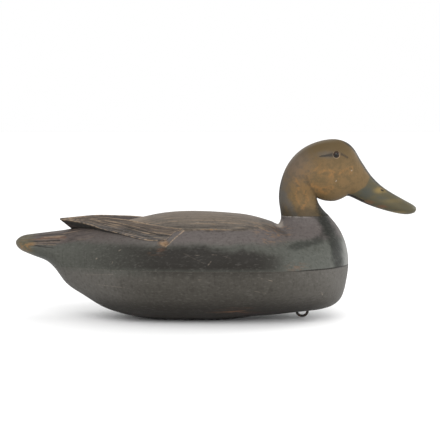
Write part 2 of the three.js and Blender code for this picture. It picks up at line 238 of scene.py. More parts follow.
def end_fullness(x, length):
    """How full the tail is near its rounded end: a quarter circle from 0 to 1 over `length`."""
    t = np.clip((x - TAIL_END_X) / length, 0, 1)
    return np.sqrt(1 - (1 - t) ** 2)


class Section:
    """Rounded sections: a widest point, an upward and a downward chord, and a half width."""

    def __init__(self, up_end, down_end, half_width, share_up, fullness=1.0):
        self.widest = up_end + (down_end - up_end) * share_up[:, None]
        fullness = np.broadcast_to(fullness, half_width.shape)[:, None]
        self.up = (up_end - self.widest) * fullness
        self.down = (down_end - self.widest) * fullness
        self.half_width = half_width

    def points(self, angle, up_roundness, down_roundness, hollow=0.0):
        """Points at each angle, 0 on the +Y side and a quarter turn upward.

        Across is the signed power of the cosine times the half width, the rise is the power
        of the sine along the chord, and `hollow` pulls a point that far to the widest point.
        """
        cos, sin = np.cos(angle), np.sin(angle)
        power = np.where(sin >= 0, 2 / up_roundness, 2 / down_roundness)
        across = np.sign(cos) * np.abs(cos) ** power * self.half_width[:, None]
        chord = np.where((sin >= 0)[..., None], self.up[:, None], self.down[:, None])
        rise = chord * (np.abs(sin) ** power)[..., None]
        reach = np.sqrt(across ** 2 + (rise ** 2).sum(-1))
        keep = 1 - hollow / np.maximum(reach, 1e-9)
        place = self.widest[:, None] + rise * keep[..., None]
        return np.stack([place[..., 0], across * keep, place[..., 1]], -1)


def body_section(station):
    row = body_at(station)
    section = Section(row[:, 0:2], row[:, 2:4], row[:, 4], row[:, 5],
                      end_fullness(station, TAIL_END_DEPTH_LENGTH))
    section.half_width = section.half_width * end_fullness(station, TAIL_END_LENGTH)
    return section


def head_section(station):
    row = head_at(station)
    return Section(row[:, 2:4], row[:, 0:2], row[:, 4], 1 - row[:, 5])


def back_height(x, y):
    """Height of the back without the wings: the super-ellipse of the section at x."""
    section = body_section(np.ravel(x))
    shape = np.shape(x)
    across = np.minimum(1, np.abs(y) / section.half_width.reshape(shape))
    rise = (1 - across ** BACK_ROUNDNESS) ** (1 / BACK_ROUNDNESS)
    return section.widest[:, 1].reshape(shape) + section.up[:, 1].reshape(shape) * rise


def seam_angle(section, height):
    """The angle on the +Y side where each section crosses a height, or its lowest point."""
    rise = height - section.widest[:, 1]
    chord = np.where(rise >= 0, section.up[:, 1], -section.down[:, 1])
    roundness = np.where(rise >= 0, BACK_ROUNDNESS, KEEL_ROUNDNESS)
    share = np.clip(np.abs(rise) / np.maximum(chord, 1e-9), 0, 1)
    return np.sign(rise) * np.arcsin(share ** (roundness / 2))


def edge_shares(columns):
    """Shares from 0 to 1 round a section, close together beside the seam."""
    edge = np.array(SEAM_EDGE_SHARES)
    step = edge[-1] + (edge[-1] - edge[-2])
    return np.concatenate([edge, np.linspace(step, 1 - step, columns), 1 - edge[::-1]])


def keel_crossings(height):
    """The two stations where the keel passes through a height, at the tail and the breast."""
    station = np.linspace(BODY_STATIONS[0][0], BODY_STATIONS[-1][0], KEEL_SAMPLES)
    section = body_section(station)
    keel = section.widest[:, 1] + section.down[:, 1]
    change = np.flatnonzero(np.diff(np.sign(keel - height)))
    return station[change[0]], station[change[-1] + 1]


def body_rows():
    """Stations along the body: a round tail end, then even steps."""
    share = np.linspace(0, 1, TAIL_END_ROW_COUNT + 1)[1:-1]
    rows = [TAIL_END_X + TAIL_END_LENGTH * (1 - np.cos(share * math.pi / 2))]
    for start, end, step in BODY_ROW_STEPS:
        rows.append(np.linspace(start, end, round((end - start) / step), endpoint=False))
    rows.append([BODY_STATIONS[-1][0]])
    return np.concatenate(rows)


def near_crossings(rows, height):
    """Rows joined by closer ones beside the two stations where the keel passes a height."""
    steps = np.linspace(0, 1, CROSSING_STEPS) ** 2 * CROSSING_REACH
    first, last = keel_crossings(height)
    return np.unique(np.concatenate([rows, first + steps, last - steps]))


def knife_marks(points):
    """Soft unevenness left by the carver's knife: crossed sine waves, up to 1 in all."""
    rng = np.random.default_rng(KNIFE_SEED)
    total = np.zeros(points.shape[:-1])
    for _ in range(KNIFE_WAVES):
        way = rng.normal(size=3) * KNIFE_RATES
        total += np.sin(points @ way + rng.uniform(0, 2 * math.pi))
    return total / KNIFE_WAVES


def seam_rounding(height, seam, radius):
    """A quarter round of the seam's edge: how far in it lies at a height above or below it."""
    t = np.clip(1 - np.abs(height - seam) / radius, 0, 1)
    return radius * (1 - np.sqrt(1 - t ** 2))


def path_distance(points, path):
    """Distance of each point to the nearest of the straight pieces between the path's points."""
    nearest = np.full(points.shape[:-1], np.inf)
    for start, end in zip(np.array(path, float)[:-1], np.array(path, float)[1:]):
        way = end - start
        share = np.clip((points - start) @ way / (way @ way), 0, 1)
        nearest = np.minimum(nearest, np.linalg.norm(points - start - share[..., None] * way, axis=-1))
    return nearest


def groove(distance, depth, width):
    """A round-bottomed groove: the depth times a bell curve of the distance over the width."""
    return depth * np.exp(-(distance / width) ** 2)


def grid_faces(rows, columns, wrap):
    """Quads between the neighbouring points of a grid; with wrap each row is a closed ring."""
    i = np.arange(rows - 1)[:, None] * columns
    j = np.arange(columns if wrap else columns - 1)[None]
    following = (j + 1) % columns
    return np.stack([i + j, i + following, i + following + columns, i + j + columns], -1).reshape(-1, 4)


def fan(tip, ring):
    """Triangles from a tip to each step of a closed ring."""
    return np.stack([np.full(len(ring), tip), np.roll(ring, -1), ring], -1)


def closed_loft(rings, start_tip, end_tip):
    """Points and faces of a skin over closed rings, with a fan over either end."""
    rows, columns = rings.shape[:2]
    points = np.concatenate([rings.reshape(-1, 3), [start_tip], [end_tip]])
    first = np.arange(columns)
    last = first + (rows - 1) * columns
    faces = grid_faces(rows, columns, True).tolist()
    faces += fan(rows * columns, first).tolist()
    faces += fan(rows * columns + 1, last[::-1]).tolist()
    return points, faces


def new_object(name, points, faces):
    """A mesh object in metres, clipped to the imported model's box, with its doubles merged."""
    low, high = (np.array(corner) / MM for corner in CAD_BOX)
    mesh = bpy.data.meshes.new(name)
    mesh.from_pydata((np.clip(points, low, high) * MM).tolist(), [], faces)
    obj = bpy.data.objects.new(name, mesh)
    bpy.context.scene.collection.objects.link(obj)
    weld = obj.modifiers.new("weld", "WELD")
    weld.merge_threshold = MERGE_DISTANCE
    apply_modifiers(obj)
    return obj


def apply_modifiers(obj):
    """The object's mesh becomes what its modifiers make of it."""
    graph = bpy.context.evaluated_depsgraph_get()
    finished = bpy.data.meshes.new_from_object(obj.evaluated_get(graph))
    raw = obj.data
    obj.modifiers.clear()
    obj.data = finished
    finished.name = obj.name
    bpy.data.meshes.remove(raw)


def join_or_cut(obj, tools, operation):
    """Joins other closed meshes to an object or cuts them out of it, and removes them."""
    for tool in tools:
        modifier = obj.modifiers.new(tool.name, "BOOLEAN")
        modifier.operation = operation
        modifier.solver = "MANIFOLD"
        modifier.object = tool
    apply_modifiers(obj)
    for tool in tools:
        mesh = tool.data
        bpy.data.objects.remove(tool)
        bpy.data.meshes.remove(mesh)


def vertices_of(mesh):
    """The mesh's points in millimetres."""
    points = np.empty(len(mesh.vertices) * 3, np.float32)
    mesh.vertices.foreach_get("co", points)
    return points.reshape(-1, 3).astype(float) / MM


def bend_of(mesh, passes=1):
    """How convex, above 0, or hollow, below 0, the surface is at each vertex.

    It is the mean, over the vertex's edges, of how far the edge falls below the plane across
    the normal for each unit of its length, evened out over the neighbours.
    """
    count = len(mesh.vertices)
    points = vertices_of(mesh)
    normals = np.empty(count * 3, np.float32)
    mesh.vertex_normals.foreach_get("vector", normals)
    normals = normals.reshape(-1, 3)
    edges = np.empty(len(mesh.edges) * 2, np.int32)
    mesh.edges.foreach_get("vertices", edges)
    a, b = edges.reshape(-1, 2).T
    way = points[b] - points[a]
    way /= np.maximum(np.linalg.norm(way, axis=1), 1e-9)[:, None]
    degree = np.bincount(a, minlength=count) + np.bincount(b, minlength=count)
    fall_a, fall_b = -(normals[a] * way).sum(1), (normals[b] * way).sum(1)
    bend = np.bincount(a, fall_a, count) + np.bincount(b, fall_b, count)
    bend /= np.maximum(degree, 1)
    for _ in range(passes):
        spread = np.bincount(a, bend[b], count) + np.bincount(b, bend[a], count)
        bend = (bend + spread) / (degree + 1)
    return bend


def set_attribute(mesh, name, values):
    attribute = mesh.attributes.new(name, "FLOAT", "POINT")
    attribute.data.foreach_set("value", np.asarray(values, np.float32))


def finish_piece(obj, material, slot, *nodes):
    """Smooth shading with sharp edges, the bend attribute and the material; hides the imported parts and
    hangs the piece on the root.
    """
    mesh = obj.data
    mesh.shade_smooth()
    mesh.set_sharp_from_angle(angle=SHARP_ANGLE)
    set_attribute(mesh, "bend", bend_of(mesh))
    mesh.materials.clear()
    mesh.materials.append(material)
    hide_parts(*nodes)
    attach(obj, "root")


# The crease where the neck seat meets the shoulder, given on the bird's left and mirrored.
SHOULDER_CREASE = [(55, 34, 102.5), (61.5, 35, 99.7), (71, 34, 96.3), (75, 38, 93.7), (78, 46, 89.1)]
SHOULDER_CREASE_WIDTH = 3

# How far each half's flat face lies from the seam's middle.
SEAM_CLEARANCE = 0.01
# The seam is filled and painted over but for the breast: x, share of the full rounding.
SEAM_OPENING = [(55, 0.05), (95, 0.45), (140, 1.0)]


def body_half(upper, sizes):
    """The upper or lower half of the body, closed by a flat face at the seam.

    Each section runs from its crossing of the seam round to the other one. Sections that
    lie wholly above the seam close on themselves, and those of the lower half shrink to a
    point where the keel meets the seam.
    """
    seam = (UPPER_BOTTOM_Z + LOWER_TOP_Z) / 2 + (SEAM_CLEARANCE if upper else -SEAM_CLEARANCE)
    rows = near_crossings(body_rows(), seam)
    if not upper:
        first, last = keel_crossings(seam)
        rows = rows[(rows >= first) & (rows <= last)]
    section = body_section(rows)
    start = seam_angle(section, seam)[:, None]
    share = edge_shares(BODY_COLUMNS if upper else LOWER_COLUMNS)[None]
    if upper:
        angle = start + (math.pi - 2 * start) * share
    else:
        angle = math.pi - start + (math.pi + 2 * start) * share
    plain = section.points(angle, BACK_ROUNDNESS, KEEL_ROUNDNESS)
    mirrored = plain * (1, 0, 1) + np.abs(plain) * (0, 1, 0)

    hollow = -knife_marks(plain) * sizes.knife_relief / MM
    if upper:
        flute = np.interp(rows, *np.array(FLUTE_SHARE, float).T)[:, None]
        flute = flute * end_fullness(rows, TAIL_END_LENGTH)[:, None] * sizes.flute_depth / MM
        hollow += np.where(np.sin(angle) > 0, flute * np.abs(np.sin(FLUTES * angle)), 0)
        crease = path_distance(mirrored, SHOULDER_CREASE)
        hollow += groove(crease, sizes.crease_depth / MM, SHOULDER_CREASE_WIDTH)
    open_rows = (np.abs(start) < math.pi / 2 - 1e-6)
    opening = np.interp(plain[..., 0], *np.array(SEAM_OPENING, float).T) * sizes.seam_rounding / MM
    hollow += open_rows * seam_rounding(plain[..., 2], seam, opening)
    hollow *= np.minimum(1, end_fullness(rows, TAIL_END_LENGTH) * 1.5)[:, None]
    points = section.points(angle, BACK_ROUNDNESS, KEEL_ROUNDNESS, hollow)
    for column in (0, -1):
        points[:, column, 2] = np.where(open_rows[:, 0], seam, points[:, column, 2])

    count, columns = points.shape[:2]
    faces = grid_faces(count, columns, False).tolist()
    row_start = np.arange(count - 1) * columns
    row_end = row_start + columns - 1
    seam_face = np.stack([row_start, row_start + columns, row_end + columns, row_end], -1)
    faces += seam_face.tolist()
    flat = points.reshape(-1, 3)
    if upper:
        tail_tip = (TAIL_END_X, 0, points[0, :, 2].mean())
        neck_middle = points[-1, :-1].mean(0)
        flat = np.concatenate([flat, [tail_tip], [neck_middle]])
        ring = np.arange(columns - 1)
        faces += fan(count * columns, ring).tolist()
        faces += fan(count * columns + 1, (ring + (count - 1) * columns)[::-1]).tolist()
    return new_object("body_upper_form" if upper else "body_lower_form", flat, faces)


def wing_profile(x, down, depth):
    """Plan distance and height of a wing's top at x, `down` of the way from ridge to edge.

    The height is the back's plus the lift, less a hollow of the depth times one minus a power
    of the sine's size, so that each feather is a half wave between two sharp grooves.
    """
    ridge, edge = ridge_at(x), edge_at(x)
    width = edge[..., 0] - ridge[..., 0]
    y = ridge[..., 0] + width * down
    lift = ridge[..., 1] + (edge[..., 1] - ridge[..., 1]) * down
    hollow = depth * np.minimum(1, width / FULL_GROOVE_WIDTH) * groove_share(x, down)
    hollow = hollow * (1 - np.abs(np.sin(FEATHERS * down * math.pi)) ** FEATHER_FULLNESS)
    return y, back_height(x, y) + lift - hollow


def groove_share(x, down):
    """How deep each groove is along its way: a slow wave, shifted from groove to groove."""
    number = np.round(FEATHERS * down)
    return 0.6 + 0.4 * np.sin(x / GROOVE_WAVE_LENGTH + number * GROOVE_SHIFT)


def between(start, end, steps):
    """Points strictly between two rows of points, for the wing's steep faces."""
    share = (np.arange(1, steps) / steps)[None, :, None]
    return start[:, None] * (1 - share) + end[:, None] * share


def wing(side, depth):
    """One wing: its feathered top, the undercut outer face, and the upright inner face."""
    along = np.linspace(0, 1, WING_ROWS)[:, None]
    down = np.linspace(0, 1, FEATHERS * STRIPS_PER_FEATHER + 1)[None]
    front = WING_FRONT_RIDGE_X + (WING_FRONT_EDGE_X - WING_FRONT_RIDGE_X) * down ** WING_FRONT_CURVE
    x = WING_TIP_X + (front - WING_TIP_X) * along
    y, z = wing_profile(x, down, depth)
    top = np.stack([x, y, z], -1)

    def foot(line_x, line, lean):
        height = line[..., 1] + WING_SINK
        foot_x = line_x + WING_TIP_RAKE * height * (1 - along[:, 0])
        foot_y = line[..., 0] - lean * height
        return np.stack([foot_x, foot_y, back_height(foot_x, foot_y) - WING_SINK], -1)

    edge_x, ridge_x = x[:, -1], x[:, 0]
    edge, ridge = edge_at(edge_x), ridge_at(ridge_x)
    edge_foot = foot(edge_x, edge, EDGE_LEAN)
    ridge_foot = foot(ridge_x, ridge, RIDGE_LEAN * np.minimum(1, ridge[..., 0] / FULL_LEAN_Y))
    ring = np.concatenate([
        top, between(top[:, -1], edge_foot, WING_FACE_STEPS), edge_foot[:, None],
        ridge_foot[:, None], between(ridge_foot, top[:, 0], WING_FACE_STEPS),
    ], 1)
    ring = ring * (1, side, 1)
    if side > 0:
        ring = ring[:, ::-1]
    points, faces = closed_loft(ring, ring[0].mean(0), ring[-1].mean(0))
    return new_object("wing_form", points, faces)


def wing_marks(points):
    """Marks of the wings at each point: groove, edge, top, steep side, and share to the edge.

    The share from ridge to edge is read from x and the distance to the centre plane.
    """
    x, y = points[:, 0], np.abs(points[:, 1])
    inside_x = np.clip(x, WING_TIP_X, WING_FRONT_RIDGE_X)
    ridge, edge = ridge_at(inside_x), edge_at(inside_x)
    width = np.maximum(edge[:, 0] - ridge[:, 0], 0.5)
    down = (y - ridge[:, 0]) / width
    share = np.clip(down, 0, 1)
    lift = ridge[:, 1] + (edge[:, 1] - ridge[:, 1]) * share
    height = points[:, 2] - back_height(inside_x, y)
    front = WING_FRONT_RIDGE_X + (WING_FRONT_EDGE_X - WING_FRONT_RIDGE_X) * share ** WING_FRONT_CURVE
    near = (down > -0.03) & (down < 1.03) & (x < front + 0.3) & (x > WING_TIP_X - 1)
    on_top = near & (height > np.maximum(lift - 1.6, lift * 0.15))
    beside = (y > ridge[:, 0] - WING_FACE_REACH) & (y < edge[:, 0] + 0.2)
    steep = (height > 0.25) & ~on_top & beside & (x < front - 1) & (x > WING_TIP_X - 1)
    valley = (1 - np.abs(np.sin(FEATHERS * down * math.pi))) * on_top * groove_share(x, share)
    rim = np.minimum(np.minimum(down, 1 - down) * width, front - x)
    rim = np.exp(-(np.maximum(rim, 0) / RIM_WIDTH) ** 2) * on_top
    return {"valley": valley, "rim": rim, "wing": on_top, "under": steep, "down": share}


# The head's carved details, in x and z on either side.
EYE_CENTRE = tuple(sum(corner) / 2 / MM for corner in zip(*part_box("eye_left")))
EYE_RADIUS = (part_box("eye_left")[1].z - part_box("eye_left")[0].z) / 2 / MM
EYE_RIM_RADIUS = 3.75
EYE_RIM_WIDTH = 0.55
MOUTH_LINE = [(141.5, 134.4), (146, 133.4), (151.5, 131), (158.5, 127.6)]
MOUTH_WIDTH = 0.7
NOSTRIL = [(177.2, 139.6), (179.6, 138.4)]
NOSTRIL_WIDTH = 0.8
BILL_EDGE = [(165.6, 154.6), (161.5, 146), (159.5, 143), (155.1, 140.4), (148, 135.8), (142, 134)]
BILL_EDGE_FADE = 1.2


def head_form(sizes):
    """The head: sections from the neck joint over the throat to the bill's tip."""
    last = len(HEAD_STATIONS) - 1
    station = np.linspace(0, last, last * HEAD_ROWS_PER_STATION + 1)
    section = head_section(station)
    angle = np.linspace(0, 2 * math.pi, HEAD_COLUMNS, endpoint=False)[None]
    angle = np.broadcast_to(angle, (len(station), HEAD_COLUMNS))
    plain = section.points(angle, HEAD_ROUNDNESS, HEAD_ROUNDNESS)
    side_view = plain[..., [0, 2]]
    on_side = np.abs(np.cos(angle)) ** 0.5
    hollow = -knife_marks(plain) * sizes.knife_relief / MM
    eye = np.linalg.norm(side_view - np.array(EYE_CENTRE)[[0, 2]], axis=-1)
    rim = np.exp(-((eye - EYE_RIM_RADIUS) / EYE_RIM_WIDTH) ** 2)
    hollow -= rim * sizes.eye_rim / MM * on_side
    hollow += on_side * groove(path_distance(side_view, MOUTH_LINE), sizes.mouth_depth / MM, MOUTH_WIDTH)
    hollow += on_side * groove(path_distance(side_view, NOSTRIL), sizes.nostril_depth / MM, NOSTRIL_WIDTH)
    hollow[0] = 0
    points = section.points(angle, HEAD_ROUNDNESS, HEAD_ROUNDNESS, hollow)
    tip = (BILL_TIP[0], 0, BILL_TIP[1])
    return new_object("head", *closed_loft(points, points[0].mean(0), tip))


def ball(name, radius, centre):
    """A ball of rings round the Y axis, so that its pole faces outward on either side."""
    turn = np.linspace(0, 2 * math.pi, BALL_COLUMNS, endpoint=False)[None]
    lean = np.linspace(0, math.pi, BALL_ROWS + 1)[1:-1, None]
    ring = np.stack([np.sin(lean) * np.cos(turn), np.cos(lean) + 0 * turn, np.sin(lean) * np.sin(turn)], -1)
    centre = np.array(centre)
    points, faces = closed_loft(centre + radius * ring, centre + (0, radius, 0), centre - (0, radius, 0))
    return new_object(name, points, faces)


# The staple: two upright legs joined below by a half circle.
STAPLE_BOX = tuple(tuple(value / MM for value in corner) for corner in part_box("line_staple"))
STAPLE_WIRE_RADIUS = (STAPLE_BOX[1][1] - STAPLE_BOX[0][1]) / 2


def staple_form(name, radius):
    """A round wire carried along the staple's line, in the plane of x and z."""
    middle_x = (STAPLE_BOX[0][0] + STAPLE_BOX[1][0]) / 2
    bend = (STAPLE_BOX[1][0] - STAPLE_BOX[0][0]) / 2 - STAPLE_WIRE_RADIUS
    bend_z = STAPLE_BOX[0][2] + STAPLE_WIRE_RADIUS + bend
    turn = np.linspace(math.pi, 2 * math.pi, BEND_ROWS)
    curve = np.stack([middle_x + bend * np.cos(turn), bend_z + bend * np.sin(turn)], -1)
    legs = [[middle_x - bend, STAPLE_BOX[1][2]]], [[middle_x + bend, STAPLE_BOX[1][2]]]
    line = np.concatenate([legs[0], curve, legs[1]])
    ahead = np.gradient(line, axis=0)
    ahead[[0, -1]] = (0, -1), (0, 1)
    ahead /= np.linalg.norm(ahead, axis=1)[:, None]
    side = np.stack([-ahead[:, 1], ahead[:, 0]], -1)
    around = np.linspace(0, 2 * math.pi, WIRE_COLUMNS, endpoint=False)
    across = radius * np.sin(around)[None, :, None] * side[:, None]
    place = line[:, None] + across
    y = np.broadcast_to(radius * np.cos(around), place.shape[:2])
    ring = np.stack([place[..., 0], y, place[..., 1]], -1)
    return new_object(name, *closed_loft(ring, ring[0].mean(0), ring[-1].mean(0)))


class Num:
    """A number that varies over a surface: Python's operators on it add Math nodes."""

    def __init__(self, finish, socket):
        self.finish, self.socket = finish, socket

    def math(self, operation, *values):
        return self.finish.math(operation, self, *values)

    def __add__(self, other):
        return self.math("ADD", other)

    __radd__ = __add__

    def __sub__(self, other):
        return self.math("SUBTRACT", other)

    def __rsub__(self, other):
        return self.finish.math("SUBTRACT", other, self)

    def __mul__(self, other):
        return self.math("MULTIPLY", other)

    __rmul__ = __mul__

    def __truediv__(self, other):
        return self.math("DIVIDE", other)

    def __pow__(self, other):
        return self.math("POWER", other)

    def __abs__(self):
        return self.math("ABSOLUTE")

    def least(self, other):
        return self.math("MINIMUM", other)

    def most(self, other):
        return self.math("MAXIMUM", other)

    def step(self, low, high):
        """0 below low, 1 above high, and a smooth S between; low may be the larger one."""
        if low > high:
            return 1 - self.step(high, low)
        settings = {"interpolation_type": "SMOOTHSTEP"}
        inputs = {"Value": self, "From Min": low, "From Max": high}
        return Num(self.finish, self.finish.node("ShaderNodeMapRange", settings, inputs, "Result"))

    def within(self, low, high, fade):
        """1 between low and high, fading out over a width on either side."""
        return self.step(low - fade, low) * self.step(high + fade, high)


class Finish:
    """One material's nodes, with Object coordinates in millimetres as x, y and z."""

    def __init__(self, name, roughness=0.6, specular=0.5):
        self.material = bpy.data.materials.new(name)
        self.material.use_nodes = True
        self.tree = self.material.node_tree
        self.shader = self.tree.nodes["Principled BSDF"]
        self.set(Roughness=roughness, Specular_IOR_Level=specular)
        coordinates = self.node("ShaderNodeTexCoord", {}, {}, "Object")
        self.place = self.vector("SCALE", coordinates, scale=1 / MM)
        self.x, self.y, self.z = (
            Num(self, self.node("ShaderNodeSeparateXYZ", {}, {0: self.place}, axis)) for axis in range(3))

    def node(self, kind, settings, inputs, output):
        """Adds a node: its settings first, then its sockets' values or links."""
        node = self.tree.nodes.new(kind)
        for name, value in settings.items():
            setattr(node, name, value)
        for key, value in inputs.items():
            self.feed(node.inputs[key] if isinstance(key, int) else self.find(node.inputs, key), value)
        return node.outputs[output] if isinstance(output, int) else self.find(node.outputs, output)

    def feed(self, socket, value):
        """Links a socket to another one, or sets its value."""
        if isinstance(value, Num):
            value = value.socket
        if isinstance(value, bpy.types.NodeSocket):
            self.tree.links.new(value, socket)
        else:
            socket.default_value = value

    @staticmethod
    def find(sockets, key):
        return next(s for s in sockets if key in (s.identifier, s.name) and s.enabled)

    def set(self, **values):
        """Sets or links the shader's own sockets, named with underscores for spaces."""
        for name, value in values.items():
            self.feed(self.shader.inputs[name.replace("_", " ")], value)
        return self.material

    def math(self, operation, *values):
        return Num(self, self.node("ShaderNodeMath", {"operation": operation}, dict(enumerate(values)), 0))

    def vector(self, operation, *vectors, scale=None):
        inputs = dict(enumerate(vectors))
        if scale is not None:
            inputs["Scale"] = scale
        return self.node("ShaderNodeVectorMath", {"operation": operation}, inputs, 0)

    def mix(self, factor, under, over):
        """Colours mixed by a factor, as sockets or (r, g, b)."""
        settings = {"data_type": "RGBA", "clamp_factor": True}
        inputs = {"Factor_Float": factor, "A_Color": colour(under), "B_Color": colour(over)}
        return self.node("ShaderNodeMix", settings, inputs, "Result_Color")

    def noise(self, size, detail=3.0, stretch=(1, 1, 1), shift=0.0, at=None):
        """Noise of about 0 to 1 whose features are `size` mm across, stretched along each axis."""
        where = self.vector("MULTIPLY", at or self.place, tuple(1 / value for value in stretch))
        where = self.vector("ADD", where, (shift, shift, shift))
        inputs = {"Vector": where, "Scale": 1 / size, "Detail": detail}
        return Num(self, self.node("ShaderNodeTexNoise", {}, inputs, 0))

    def attribute(self, name):
        return Num(self, self.node("ShaderNodeAttribute", {"attribute_name": name}, {}, "Fac"))

    def blot(self, centre, reach, ragged=0, soft=0.35):
        """1 inside an oval in x and z, fading out round its rim, which `ragged` breaks up."""
        across = (self.x - centre[0]) / reach[0]
        up = (self.z - centre[1]) / reach[1]
        distance = (across * across + up * up) ** 0.5 + ragged
        return distance.step(1 + soft, 1 - soft)

    def stroke(self, start, end, width, ragged=0, end_width=None, soft=0.7):
        """1 along a straight stroke in x and z, whose half width may change to an end width."""
        (x0, z0), (x1, z1) = start, end
        length = math.hypot(x1 - x0, z1 - z0)
        way = ((x1 - x0) / length, (z1 - z0) / length)
        across, up = self.x - x0, self.z - z0
        along = (across * way[0] + up * way[1]).most(0).least(length)
        off_x, off_z = across - along * way[0], up - along * way[1]
        distance = (off_x * off_x + off_z * off_z) ** 0.5 + ragged
        if end_width is not None:
            distance = distance / (1 + along * ((end_width / width - 1) / length))
        return distance.step(width, width * (1 - soft))

    def line(self, path, width, ragged=0, soft=0.7):
        """1 along a line of straight strokes in x and z."""
        strokes = [self.stroke(a, b, width, ragged, soft=soft) for a, b in zip(path, path[1:])]
        total = strokes[0]
        for stroke in strokes[1:]:
            total = total.most(stroke)
        return total

    def bump(self, height, depth, under=None):
        """A Bump node: height of about 0 to 1, over a depth in mm."""
        inputs = {"Height": height, "Distance": depth * MM, "Strength": 1.0}
        if under is not None:
            inputs["Normal"] = under
        return self.node("ShaderNodeBump", {}, inputs, "Normal")


class Coat:
    """Layers of paint, each laid over the ones before it."""

    def __init__(self, finish, ground):
        self.finish, self.colour = finish, ground

    def lay(self, mask, paint):
        self.colour = self.finish.mix(mask, self.colour, paint)


def colour(value):
    """A socket as it is, or r, g, b with an alpha of 1."""
    return value if isinstance(value, bpy.types.NodeSocket) else (*value[:3], 1.0)


def paint_property(name, description, default):
    return bpy.props.FloatVectorProperty(
        name=name, description=description, default=default, size=3, min=0, max=1, subtype="COLOR")


def size_property(name, description, default):
    return bpy.props.FloatProperty(
        name=name, description=description, default=default, min=0, unit="LENGTH", precision=5)


class DecoySizes(bpy.types.PropertyGroup):
    """Depths and heights of the carving."""

    feather_depth: size_property("Feather grooves", "Depth between the wing feathers", 0.0010)
    flute_depth: size_property("Tail flutes", "Depth of the tail's flutes", 0.0013)
    crease_depth: size_property("Shoulder crease", "Depth where the neck meets the shoulder", 0.0004)
    seam_rounding: size_property("Seam rounding", "Radius of the edges at the open seam", 0.0009)
    knife_relief: size_property("Knife marks", "Height of the knife's unevenness", 0.00015)
    eye_rim: size_property("Eye rim", "Height of the rim round each eye", 0.0003)
    mouth_depth: size_property("Mouth line", "Depth of the line under the bill's base", 0.0009)
    nostril_depth: size_property("Nostrils", "Depth of the nostrils", 0.0012)


class DecoyPaints(bpy.types.PropertyGroup):
    """Colours of the worn paint, with its painted shade, highlights and sheen, the glass and the iron."""

    flank: paint_property("Flank", "Green-grey paint of the sides", (0.052, 0.053, 0.045))
    band: paint_property("Flank band", "Blackish band along the sides", (0.0085, 0.0067, 0.0048))
    shoulder: paint_property("Shoulder", "Purple-grey paint below the mantle", (0.078, 0.067, 0.063))
    mantle: paint_property("Mantle", "Brown paint of the back", (0.084, 0.070, 0.057))
    wing: paint_property("Wings", "Brown paint of the feathers", (0.066, 0.052, 0.042))
    feather_grey: paint_property("Grey feathers", "Blue-grey paint low on the wings", (0.058, 0.055, 0.053))
    # Painted shade on the steep undercut faces under the wings.
    wing_undercut_shade: paint_property("Under the wings", "Blackish paint under the wings", (0.030, 0.028, 0.026))
    tail: paint_property("Tail", "Brown paint on top of the tail", (0.058, 0.046, 0.042))
    tail_end: paint_property("Tail end", "Olive paint of the tail's end", (0.080, 0.070, 0.043))
    breast: paint_property("Breast", "Dark green-grey paint of the breast", (0.012, 0.013, 0.0105))
    patch: paint_property("Breast patch", "Paler rubbed paint of the breast", (0.062, 0.065, 0.056))
    # Painted sheen with pale wear on the breast's front.
    breast_front_sheen_and_wear: paint_property("Breast front", "Pale grey paint of the breast's front", (0.15, 0.15, 0.14))
    hull: paint_property("Hull", "Warm grey-brown paint of the lower half", (0.046, 0.042, 0.035))
    # Painted light: paler ends of the lower half, where the hull turns to the side.
    hull_ends_painted_light: paint_property("Hull ends", "Paler paint at the lower half's ends", (0.076, 0.071, 0.063))
    # Dark tone in the mottling, and painted shade towards the keel.
    keel: paint_property("Keel", "Dark paint towards the keel", (0.013, 0.0103, 0.0075))
    head: paint_property("Head", "Ochre-brown paint of the head", (0.107, 0.071, 0.032))
    crown: paint_property("Crown", "Darker paint of the crown", (0.064, 0.043, 0.018))
    rubbed: paint_property("Rubbed head", "Orange tone where the head is rubbed", (0.195, 0.100, 0.034))
    nape: paint_property("Nape", "Blue-grey paint of the nape", (0.074, 0.068, 0.060))
    bill: paint_property("Bill", "Olive paint of the bill", (0.064, 0.054, 0.029))
    bill_grey: paint_property("Bill patches", "Blue-grey patches of the bill", (0.042, 0.044, 0.035))
    ochre: paint_property("Ochre marks", "Yellow marks round the nostrils", (0.19, 0.13, 0.043))
    rust: paint_property("Rust marks", "Red-brown marks", (0.115, 0.056, 0.030))
    # Dark lines, also laid as painted shade in hollows, creases and grooves.
    stripe: paint_property("Dark lines", "Eye stripe and dark lines", (0.015, 0.013, 0.011))
    # Bare wood where the paint is gone, also laid as painted highlight on the back.
    bare_wood_and_highlight: paint_property("Bare wood", "Wood that shows where the paint is gone", (0.33, 0.235, 0.15))
    # Pale wear and specks, also laid as painted sheen along the crown.
    pale_wear_and_sheen: paint_property("Pale wear", "Pale grey wear and specks", (0.36, 0.34, 0.31))
    pupil: paint_property("Pupil", "Black middle of the eye", (0.004, 0.003, 0.002))
    iris: paint_property("Iris", "Dark brown glass round the pupil", (0.022, 0.011, 0.006))
    iron: paint_property("Iron", "Dark iron of the staple", (0.030, 0.027, 0.024))


def worn_surface(finish, broad, grain, brush, fine):
    """Brush marks, wood grain and fine tooth as one bump, and a roughness that follows them."""
    height = finish.bump(grain * 0.45 + brush * 0.25 + fine * 0.3, 0.4)
    return {"Roughness": 0.42 + broad * 0.2 + grain * 0.15, "Normal": height}


